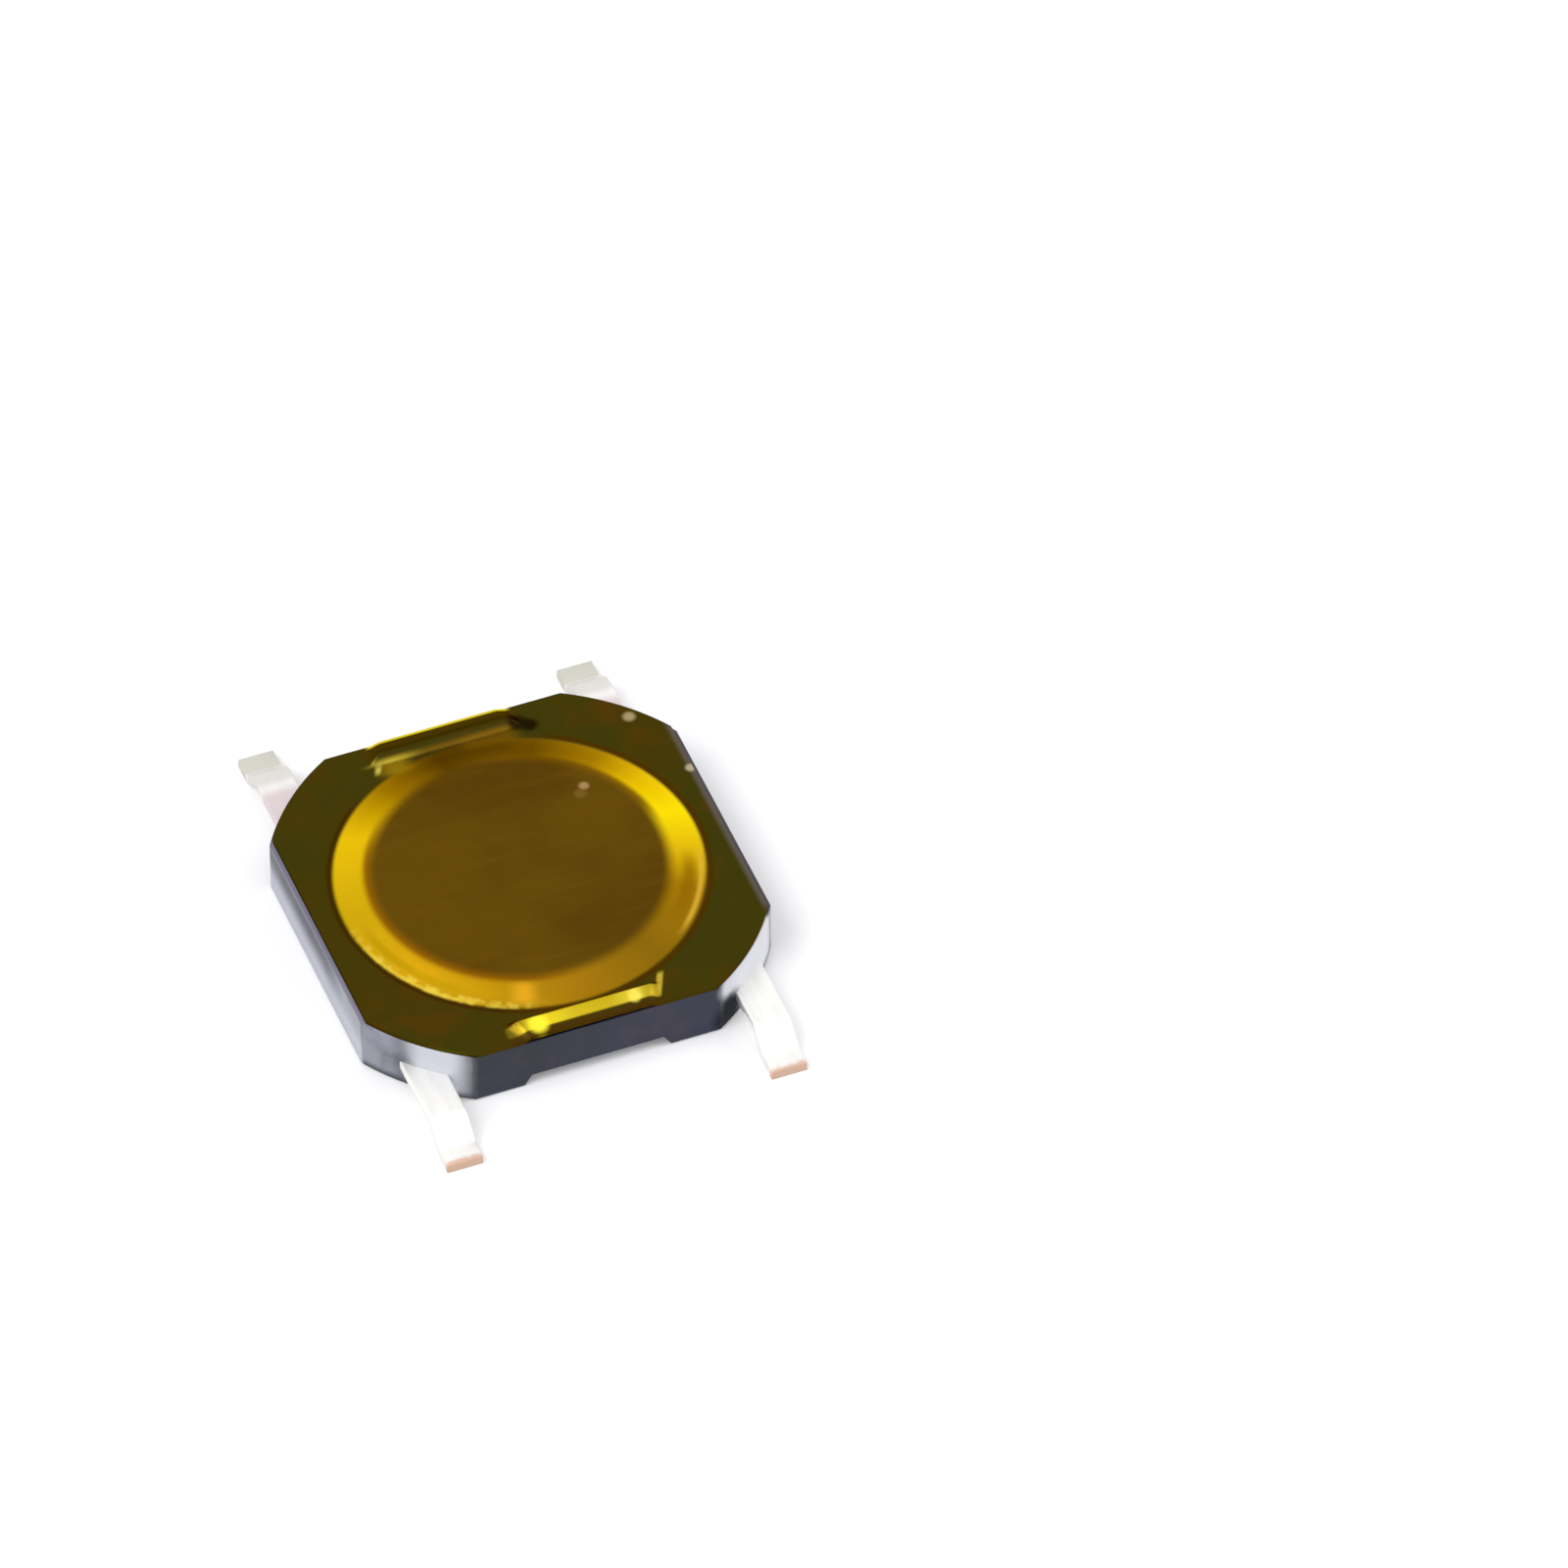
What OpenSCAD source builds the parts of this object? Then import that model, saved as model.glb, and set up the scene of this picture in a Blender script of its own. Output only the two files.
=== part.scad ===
// Low surface-mount tactile push button switch: film cover, snap dome, moulded housing, four gull-wing leads.
// Millimetres, +Z up. Origin on the board, under the middle of the housing. The leads run along Y.

/* [Housing] */
// Width and depth of the moulded housing
housing_w = 4.8; // [4.7:0.05:5.2]
// Distance that each rounded corner stands in from the square corner
corner_cut = 0.6; // [0.5:0.02:0.66]
// Height of the housing, from its two pads to the face that the film lies on
housing_h = 0.65; // [0.62:0.01:0.8]
// Thinnest stretch of the wall round the dome's well, in the middle of each side
wall_t = 0.34; // [0.26:0.01:0.44]
// Gap between the pads and the board
standoff = 0.02; // [0.01:0.005:0.04]
// Plastic that covers the buried stretches of the contact sheet
floor_cover = 0.04; // [0.02:0.005:0.06]

/* [Underside] */
// Width of the groove along the underside, at its roof
groove_w = 1.54; // [1.3:0.02:1.8]
// Height of the groove's roof above the pads
groove_depth = 0.13; // [0.06:0.01:0.15]
// Sideways lean of each groove wall
groove_draft = 0.08; // [0:0.01:0.15]
// Length of the raised block in the middle of the groove
block_l = 2.72; // [1.6:0.02:3.4]
// Height of the block's face above the pads
block_recess = 0.035; // [0.01:0.005:0.05]
// Width of the window under the middle contact
window_w = 1.1; // [0.9:0.02:1.3]
// Length of the window under the middle contact
window_l = 0.96; // [0.9:0.02:1.2]
// Diameter of the two ejector marks on the rear wall
mark_d = 0.2; // [0.1:0.01:0.24]
// Distance between the ejector marks
mark_pitch = 2.1; // [1.6:0.05:2.4]
// Height of the ejector marks above the board
mark_z = 0.19; // [0.15:0.01:0.24]
// Depth of the ejector marks
mark_depth = 0.06; // [0.02:0.01:0.1]

/* [Leads and contacts] */
// Thickness of the contact sheet
sheet_t = 0.12; // [0.1:0.005:0.13]
// Height of the underside of the sheet inside the housing
sheet_z = 0.22; // [0.2:0.005:0.23]
// Width of a lead
lead_w = 0.42; // [0.3:0.02:0.5]
// Distance from the housing's side wall in to the outer edge of a lead
lead_inset = 0.3; // [0.24:0.02:0.4]
// Distance that the leads reach past the housing's front and rear walls
lead_reach = 0.9; // [0.8:0.05:1.4]
// Length of the flat foot that is soldered to the board
foot_l = 0.22; // [0.15:0.01:0.3]
// Slope of a lead between the housing and its foot
bend_angle = 40; // [35:1:60]
// Inner radius of the bends in a lead
bend_r = 0.08; // [0.04:0.01:0.1]
// Width of the ring contact under the rim of the dome
ring_w = 0.3; // [0.2:0.02:0.4]
// Distance that the ring contact reaches out past the dome
ring_lap = 0.02; // [0:0.01:0.04]
// Half of the angle that the ring contact leaves open for the other contact
ring_open_angle = 50; // [40:1:70]
// Height by which the ring and the middle contact stand proud of the well's floor
contact_proud = 0.02; // [0.01:0.005:0.03]
// Distance that the plate of the middle contact laps the rim of its window
plate_lap = 0.1; // [0.06:0.02:0.2]
// Diameter of the pressed boss on the middle contact
boss_d = 0.8; // [0.6:0.02:0.9]
// Diameter of the contact point on top of the boss
point_d = 0.2; // [0.1:0.02:0.4]
// Height of the contact point on top of the boss
point_h = 0.02; // [0.01:0.005:0.04]
// Width of the neck between the middle contact and its leads
neck_w = 0.5; // [0.3:0.02:0.7]

/* [Dome] */
// Gap between the dome and the wall of its well
dome_side_gap = 0.06; // [0.04:0.01:0.08]
// Thickness of the dome's spring steel
dome_t = 0.06; // [0.05:0.005:0.07]
// Power of the curve of the dome: the higher, the flatter its crown
dome_flatness = 6; // [4:0.5:8]
// Gap between the dome and what it rests on or lies under
dome_clearance = 0.005; // [0.003:0.001:0.01]

/* [Film] */
// Thickness of the cover film
film_t = 0.05; // [0.04:0.005:0.06]
// Housing rim left bare beside the film, on the left and the right
film_margin = 0.05; // [0.02:0.01:0.1]
// Distance that the film's rounded corners keep from the housing's
film_corner_margin = 0.02; // [0:0.01:0.06]
// Height of the pressed round plateau above the film's rim
plateau_h = 0.08; // [0.06:0.01:0.12]
// Width of the slope that runs round the plateau, down to the film's rim
plateau_slope_w = 0.41; // [0.3:0.01:0.5]
// Width of the air channels that cross the film's rim at the front and the rear
channel_w = 1.86; // [1.4:0.02:2]
// Sideways lean of each wall of an air channel
channel_draft = 0.07; // [0.03:0.01:0.1]
// Height of an air channel above the film's rim, beside the plateau
channel_in_h = 0.04; // [0.03:0.005:0.05]
// Height of an air channel above the film's rim, at the film's edge
channel_out_h = 0.08; // [0.06:0.01:0.12]

/* [Hidden] */
$fn = 96;
film_face_z = standoff + housing_h;
corner_r = housing_w / sqrt(2) - corner_cut;
sheet_top_z = sheet_z + sheet_t;
floor_z = sheet_top_z + floor_cover;
contact_z = floor_z + contact_proud;
contact_rise = contact_z - sheet_top_z;
well_r = housing_w / 2 - wall_t;
dome_r = well_r - dome_side_gap;
ring_r = dome_r + ring_lap;
plate_w = window_w + 2 * plate_lap;
plate_l = window_l + 2 * plate_lap;
plateau_r = well_r - plateau_slope_w;
lead_x = (housing_w - lead_w) / 2 - lead_inset;
tip_y = housing_w / 2 + lead_reach;
film_edge_y = housing_w / 2;
dome_steps = 20;
slope_steps = 8;
bend_steps = 6;
// Overshoot of a cut past the face that it opens
over = 0.5;

// Point on an arc in a profile
function arc_point(centre, r, a) = centre + r * [cos(a), sin(a)];
// Evenly spaced points along an arc
function arc(centre, r, from, to, steps) =
    [for (i = [0:steps]) arc_point(centre, r, from + (to - from) * i / steps)];
// Soft step from 0 to 1
function soft(t) = t * t * (3 - 2 * t);

// Outline of the housing seen from above, drawn in by a margin at the sides and at the corners
module outline(side_margin = 0, corner_margin = 0) {
    intersection() {
        square([housing_w - 2 * side_margin, housing_w], center = true);
        circle(r = corner_r - corner_margin);
    }
}

// Prism along Y of a shape drawn in X and Z
module along_y(length) {
    rotate([90, 0, 0])
        linear_extrude(length, center = true)
            children();
}

// Prism along X of a shape drawn in Y and Z
module along_x(length) {
    rotate([90, 0, 90])
        linear_extrude(length, center = true)
            children();
}

// Height that the sloping stretch of a lead drops, between the ends of its two bends
slope_drop = sheet_z - sheet_t - 2 * bend_r + (2 * bend_r + sheet_t) * cos(bend_angle);
slope_run = slope_drop / tan(bend_angle);
foot_bend_y = tip_y - foot_l;
first_bend_y = foot_bend_y - slope_run - (2 * bend_r + sheet_t) * sin(bend_angle);

// Side view of the lead that points to the rear, from the middle of the housing to its tip
module lead_profile() {
    upper_centre = [first_bend_y, sheet_z - bend_r];
    foot_centre = [foot_bend_y, sheet_t + bend_r];
    polygon(concat(
        [[0, sheet_top_z]],
        arc(upper_centre, bend_r + sheet_t, 90, 90 - bend_angle, bend_steps),
        arc(foot_centre, bend_r, -90 - bend_angle, -90, bend_steps),
        [[tip_y, sheet_t], [tip_y, 0]],
        arc(foot_centre, bend_r + sheet_t, -90, -90 - bend_angle, bend_steps),
        arc(upper_centre, bend_r, 90 - bend_angle, 90, bend_steps),
        [[0, sheet_z]]
    ));
}

// Rail with a lead at each end, on the left (side -1) or the right (side 1)
module lead_rail(side) {
    for (turn = [0, 1])
        translate([side * lead_x, 0, 0])
            mirror([0, turn, 0])
                along_x(lead_w)
                    lead_profile();
}

// Ring contact, open towards the middle contact's rail
module contact_ring() {
    reach = 2 * well_r;
    translate([0, 0, sheet_z + contact_rise])
        linear_extrude(sheet_t)
            difference() {
                circle(r = ring_r);
                circle(r = ring_r - ring_w);
                polygon([
                    [0, 0],
                    reach * [cos(ring_open_angle), -sin(ring_open_angle)],
                    [reach, 0],
                    reach * [cos(ring_open_angle), sin(ring_open_angle)]
                ]);
            }
}

module outer_contact_frame() {
    color("silver") {
        lead_rail(-1);
        contact_ring();
    }
}

// Hollow under the pressed boss of the middle contact
module boss_hollow() {
    translate([0, 0, sheet_z - over])
        cylinder(d = boss_d - sheet_t, h = over + contact_rise);
}

module centre_contact_frame() {
    color("silver") {
        lead_rail(1);
        difference() {
            union() {
                translate([0, -neck_w / 2, sheet_z])
                    cube([lead_x, neck_w, sheet_t]);
                translate([-plate_w / 2, -plate_l / 2, sheet_z])
                    cube([plate_w, plate_l, sheet_t]);
                translate([0, 0, sheet_z])
                    cylinder(d = boss_d, h = contact_z - sheet_z);
                translate([0, 0, sheet_top_z])
                    cylinder(d = point_d, h = contact_z + point_h - sheet_top_z);
            }
            boss_hollow();
        }
    }
}

// Groove along the underside, with the raised block left standing in it
module underside_groove() {
    roof_z = standoff + groove_depth;
    lean = groove_draft / groove_depth;
    half_roof = groove_w / 2;
    foot = half_roof + lean * (groove_depth + over);
    difference() {
        along_y(housing_w + 2 * over)
            polygon([
                [-foot, standoff - over],
                [foot, standoff - over],
                [half_roof, roof_z],
                [-half_roof, roof_z]
            ]);
        translate([-housing_w / 2, -block_l / 2, standoff + block_recess])
            cube([housing_w, block_l, groove_depth]);
    }
}

// Window through the block, up to the plate of the middle contact
module underside_window() {
    translate([-window_w / 2, -window_l / 2, standoff - over])
        cube([window_w, window_l, sheet_z - standoff + over]);
}

module ejector_marks() {
    for (side = [-1, 1])
        translate([side * mark_pitch / 2, housing_w / 2 - mark_depth, mark_z])
            rotate([-90, 0, 0])
                cylinder(d = mark_d, h = mark_depth + over, $fn = 32);
}

module housing() {
    color("#2c2c34")
        difference() {
            translate([0, 0, standoff])
                linear_extrude(housing_h)
                    outline();
            translate([0, 0, floor_z])
                cylinder(r = well_r, h = film_face_z - floor_z + over);
            underside_groove();
            underside_window();
            boss_hollow();
            ejector_marks();
            outer_contact_frame();
            centre_contact_frame();
        }
}

dome_rim_z = contact_z + dome_clearance;
dome_top_z = film_face_z + plateau_h - dome_clearance;
dome_rise = dome_top_z - dome_rim_z - dome_t;
// Height of the dome's lower face at a radius
function dome_z(r) = dome_rim_z + dome_rise * (1 - pow(r / dome_r, dome_flatness));

module snap_dome() {
    radii = [for (i = [0:dome_steps]) dome_r * i / dome_steps];
    color("gainsboro")
        rotate_extrude()
            polygon(concat(
                [for (r = radii) [r, dome_z(r)]],
                [for (i = [dome_steps:-1:0]) [radii[i], dome_z(radii[i]) + dome_t]]
            ));
}

// Solid under one face of the film's plateau, channels and rim, with that face lifted by a height
module film_form(lift) {
    rim_z = film_face_z + lift;
    half_top = channel_w / 2 - channel_draft;
    rotate_extrude()
        polygon(concat(
            [[0, film_face_z - over], [0, rim_z + plateau_h]],
            [for (i = [0:slope_steps])
                [plateau_r + (well_r - plateau_r) * i / slope_steps,
                 rim_z + plateau_h * (1 - soft(i / slope_steps))]],
            [[well_r, film_face_z - over]]
        ));
    intersection() {
        along_y(2 * housing_w)
            polygon([
                [-channel_w / 2, film_face_z - over],
                [-channel_w / 2, rim_z],
                [-half_top, rim_z + channel_out_h],
                [half_top, rim_z + channel_out_h],
                [channel_w / 2, rim_z],
                [channel_w / 2, film_face_z - over]
            ]);
        along_x(housing_w)
            polygon([
                [-film_edge_y - over, film_face_z - over],
                [-film_edge_y - over, rim_z + channel_out_h],
                [-film_edge_y, rim_z + channel_out_h],
                [-well_r, rim_z + channel_in_h],
                [well_r, rim_z + channel_in_h],
                [film_edge_y, rim_z + channel_out_h],
                [film_edge_y + over, rim_z + channel_out_h],
                [film_edge_y + over, film_face_z - over]
            ]);
    }
}

module cover_film() {
    color("#8a6a12")
        difference() {
            intersection() {
                translate([0, 0, film_face_z])
                    linear_extrude(film_t + plateau_h + channel_out_h)
                        outline(film_margin, film_corner_margin);
                union() {
                    film_form(film_t);
                    translate([-housing_w / 2, -housing_w / 2, film_face_z])
                        cube([housing_w, housing_w, film_t]);
                }
            }
            film_form(0);
        }
}

housing();
outer_contact_frame();
centre_contact_frame();
snap_dome();
cover_film();
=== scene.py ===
"""Low surface-mount tactile push button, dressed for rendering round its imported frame.

Sizes are in millimetres until a mesh is finished, when it is brought to metres.
+Z points up from the board, and the leads run along Y.
"""

import logging
import math
from dataclasses import dataclass, field
from enum import Enum

import bmesh
import bpy
from mathutils import Color, Matrix, Vector, noise

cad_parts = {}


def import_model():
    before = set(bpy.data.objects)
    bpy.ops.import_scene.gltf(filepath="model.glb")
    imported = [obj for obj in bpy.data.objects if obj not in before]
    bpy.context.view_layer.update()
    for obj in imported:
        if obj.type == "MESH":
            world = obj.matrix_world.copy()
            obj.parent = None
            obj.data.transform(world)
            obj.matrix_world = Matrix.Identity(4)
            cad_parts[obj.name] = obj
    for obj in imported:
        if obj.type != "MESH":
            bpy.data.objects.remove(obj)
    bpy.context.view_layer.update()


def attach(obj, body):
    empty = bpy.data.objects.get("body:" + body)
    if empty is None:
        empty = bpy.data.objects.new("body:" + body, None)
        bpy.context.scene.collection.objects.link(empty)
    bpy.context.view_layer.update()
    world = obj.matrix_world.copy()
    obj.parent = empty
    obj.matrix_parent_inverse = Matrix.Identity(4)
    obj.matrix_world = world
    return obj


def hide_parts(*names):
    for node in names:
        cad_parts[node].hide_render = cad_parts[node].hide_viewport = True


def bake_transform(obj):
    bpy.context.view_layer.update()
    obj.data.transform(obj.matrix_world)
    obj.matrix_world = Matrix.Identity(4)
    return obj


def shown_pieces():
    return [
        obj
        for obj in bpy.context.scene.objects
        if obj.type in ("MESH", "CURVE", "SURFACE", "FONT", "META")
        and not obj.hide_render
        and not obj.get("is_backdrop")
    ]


MM = 0.001
FULL_TURN = 2 * math.pi
QUARTER_TURN = math.pi / 2
DEGREES_ROUND = 360
FULL_LEVEL = 255
NEAR = 1e-4
SIGNS = (-1, 1)
ACROSS = Vector((1, 0, 0))
ALONG = Vector((0, 1, 0))
UP = Vector((0, 0, 1))
NUMBER = "NodeSocketFloat"
VECTOR = "NodeSocketVector"
ARRIS = "arris"
CHANNEL = "channel"

log = logging.getLogger("tactile_switch")

Mesh = bmesh.types.BMesh
Vert = bmesh.types.BMVert
Edge = bmesh.types.BMEdge
Face = bmesh.types.BMFace
Piece = bpy.types.Object
Material = bpy.types.Material
Tree = bpy.types.NodeTree
Socket = bpy.types.NodeSocket
Span = tuple[float, float]
Vec3 = tuple[float, float, float]
Rgb = Vec3
Stop = tuple[float, Rgb]
Ways = tuple[Socket, Socket]


class Side(Enum):
    """Side of the switch on which a contact frame has its two leads."""

    LEFT = -1
    RIGHT = 1


class Body(Enum):
    """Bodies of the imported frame."""

    BASE = "base"
    BUTTON = "button"


def linear(rgb: Rgb) -> tuple[float, float, float, float]:
    """Linear colour that a shader takes, of a colour as it shows on a screen, from 0 to 255."""
    shown = Color([level / FULL_LEVEL for level in rgb])
    return (*shown.from_srgb_to_scene_linear(), 1.0)


def soft_step(share: float) -> float:
    """Soft step from 0 to 1 for a share from 0 to 1."""
    share = min(max(share, 0.0), 1.0)
    return share * share * (3 - 2 * share)


def direction(azimuth: float, elevation: float) -> Vector:
    """Direction from the switch, by its angles in degrees.

    Args:
        azimuth: Angle round the Z axis, from the front towards the right.
        elevation: Angle above the board.

    Returns:
        The direction, one unit long.
    """
    turned, raised = math.radians(azimuth), math.radians(elevation)
    level = math.cos(raised)
    return Vector((math.sin(turned) * level, -math.cos(turned) * level, math.sin(raised)))


def put_in_scene(name: str, data: bpy.types.ID) -> Piece:
    """Make an object of a mesh, lamp or camera and put it in the scene.

    Args:
        name: Name of the object.
        data: Its mesh, lamp or camera.

    Returns:
        The object.
    """
    made = bpy.data.objects.new(name, data)
    bpy.context.scene.collection.objects.link(made)
    return made


# Mesh tools


def whole(bm: Mesh) -> list:
    """Every vertex, edge and face of a mesh."""
    return [*bm.verts, *bm.edges, *bm.faces]


def around(faces: list[Face]) -> list:
    """Faces with their own edges and vertices, each once.

    Args:
        faces: The faces.

    Returns:
        Vertices, edges and faces in one list.
    """
    edges = {e for f in faces for e in f.edges}
    verts = {v for f in faces for v in f.verts}
    return [*verts, *edges, *faces]


def on_plane(bm: Mesh, axis: Vector, place: float) -> list[Face]:
    """Faces of a mesh that lie in the plane at a place along an axis."""
    return [f for f in bm.faces if all(abs(v.co.dot(axis) - place) < NEAR for v in f.verts)]


def cut(bm: Mesh, geom: list, point: Vector, normal: Vector, trim: bool = False) -> None:
    """Cut geometry with the plane through a point, and with trim remove what lies beyond it."""
    bmesh.ops.bisect_plane(bm, geom=geom, dist=NEAR, plane_co=point, plane_no=normal, clear_outer=trim)


def open_round_hole(bm: Mesh, face: Face, place: Matrix, radius: float, segments: int) -> list[Edge]:
    """Open a round hole in a flat face.

    Args:
        bm: Mesh that holds the face.
        face: Face to open.
        place: Matrix whose XY plane is the face's and whose origin is the hole's centre.
        radius: Radius of the hole.
        segments: Number of edges round the hole.

    Returns:
        The edges round the hole.
    """
    outline = list(face.edges)
    facing = face.normal.copy()
    bmesh.ops.delete(bm, geom=[face], context="FACES_ONLY")
    ring = bmesh.ops.create_circle(bm, cap_ends=False, radius=radius, segments=segments, matrix=place)
    rim = list({e for v in ring["verts"] for e in v.link_edges})
    bmesh.ops.triangle_fill(bm, use_beauty=True, use_dissolve=False, edges=outline + rim, normal=facing)
    return rim


def draw_out(bm: Mesh, edges: list[Edge], step: Vector, shrink: float = 1.0) -> list[Edge]:
    """Draw a loop of edges out into a wall.

    Args:
        bm: Mesh that holds the loop.
        edges: Edges of the loop.
        step: How far and which way the wall runs.
        shrink: Size of the far loop, as a share of the near one, about the Z axis.

    Returns:
        The edges of the far loop.
    """
    made = bmesh.ops.extrude_edge_only(bm, edges=edges)["geom"]
    verts = [g for g in made if isinstance(g, Vert)]
    bmesh.ops.scale(bm, vec=(shrink, shrink, 1.0), verts=verts)
    bmesh.ops.translate(bm, vec=step, verts=verts)
    far = set(verts)
    return [g for g in made if isinstance(g, Edge) and far.issuperset(g.verts)]


def close(bm: Mesh, edges: list[Edge]) -> None:
    """Close a loop of edges with one flat face."""
    bmesh.ops.contextual_create(bm, geom=edges)


def pull_out(bm: Mesh, faces: list[Face], step: Vector) -> list[Face]:
    """Extrude flat faces and move them.

    Args:
        bm: Mesh that holds the faces.
        faces: Faces to extrude.
        step: How far and which way they move.

    Returns:
        The moved faces.
    """
    made = bmesh.ops.extrude_face_region(bm, geom=around(faces))["geom"]
    bmesh.ops.translate(bm, vec=step, verts=[g for g in made if isinstance(g, Vert)])
    return [g for g in made if isinstance(g, Face)]


def revolve(bm: Mesh, profile: list[Span], steps: int) -> None:
    """Turn a profile about the Z axis into a closed skin that faces upwards.

    Args:
        bm: Empty mesh that takes the skin.
        profile: Radius and height of each point, from the axis outwards.
        steps: Number of steps in the turn.
    """
    verts = [bm.verts.new((radius, 0.0, height)) for radius, height in profile]
    edges = [bm.edges.new(pair) for pair in zip(verts, verts[1:])]
    bmesh.ops.spin(
        bm, geom=verts + edges, cent=(0, 0, 0), axis=(0, 0, 1), dvec=(0, 0, 0), angle=FULL_TURN,
        steps=steps, use_merge=True,
    )
    bmesh.ops.remove_doubles(bm, verts=bm.verts, dist=NEAR)
    bmesh.ops.recalc_face_normals(bm, faces=bm.faces)
    if sum(f.normal.z for f in bm.faces) < 0:
        bmesh.ops.reverse_faces(bm, faces=bm.faces)


def round_arrises(bm: Mesh, sharper_than: float, width: float, segments: int = 2) -> None:
    """Round every arris of a closed mesh and mark the middle of each rounding.

    Args:
        bm: Mesh to round.
        sharper_than: Angle in degrees between two faces above which their edge is an arris.
        width: Width of the rounding on each face.
        segments: Number of strips in the rounding.
    """
    limit = math.radians(sharper_than)
    edges = [e for e in bm.edges if e.is_manifold and e.calc_face_angle() > limit]
    made = bmesh.ops.bevel(
        bm, geom=edges, offset=width, offset_type="OFFSET", segments=segments, profile=0.5,
        affect="EDGES", clamp_overlap=True, material=-1,
    )
    strips = set(made["faces"])
    layer = bm.verts.layers.float.get(ARRIS) or bm.verts.layers.float.new(ARRIS)
    for vert in made["verts"]:
        if vert.is_valid and strips.issuperset(vert.link_faces):
            vert[layer] = 1.0


def finished(bm: Mesh, name: str) -> Piece:
    """Bring a mesh to metres and put it in the scene at the origin.

    Args:
        bm: Mesh in millimetres, which is freed.
        name: Name of the piece.

    Returns:
        The piece's object.
    """
    bmesh.ops.scale(bm, vec=(MM, MM, MM), verts=bm.verts)
    for face in bm.faces:
        face.smooth = True
    mesh = bpy.data.meshes.new(name)
    bm.to_mesh(mesh)
    bm.free()
    return put_in_scene(name, mesh)


def even_out_normals(piece: Piece) -> None:
    """Keep a piece's large flats flat and shade its roundings softly."""
    modifier = piece.modifiers.new("even_normals", "WEIGHTED_NORMAL")
    modifier.keep_sharp = True


def thicken(piece: Piece, thickness: float) -> None:
    """Give a skin its thickness, below the face that it has.

    Args:
        piece: The skin.
        thickness: Its thickness in millimetres.
    """
    modifier = piece.modifiers.new("thickness", "SOLIDIFY")
    modifier.thickness = thickness * MM
    modifier.offset = -1.0
    modifier.use_rim = True


# Shader tools


@dataclass(frozen=True)
class Patches:
    """Soft patches: how small, how ragged, and the noise levels between which they fade in."""

    scale: float
    detail: float
    low: float
    high: float
    stretch: Vec3 = (1.0, 1.0, 1.0)


@dataclass(frozen=True)
class Relief:
    """Fine unevenness of a surface: how small, how strong, and how deep in metres."""

    scale: float
    strength: float
    depth: float
    stretch: Vec3 = (1.0, 1.0, 1.0)


@dataclass(frozen=True)
class Spot:
    """Round spot with a soft edge, in millimetres."""

    centre: Vec3
    radius: float
    colour: Rgb
    strength: float = 1.0


@dataclass(frozen=True)
class Mark:
    """Soft-edged mark between two limits each way, such as X and Y, or radius and angle."""

    first: Span
    second: Span
    soft: Span
    colour: Rgb
    strength: float = 1.0


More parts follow.
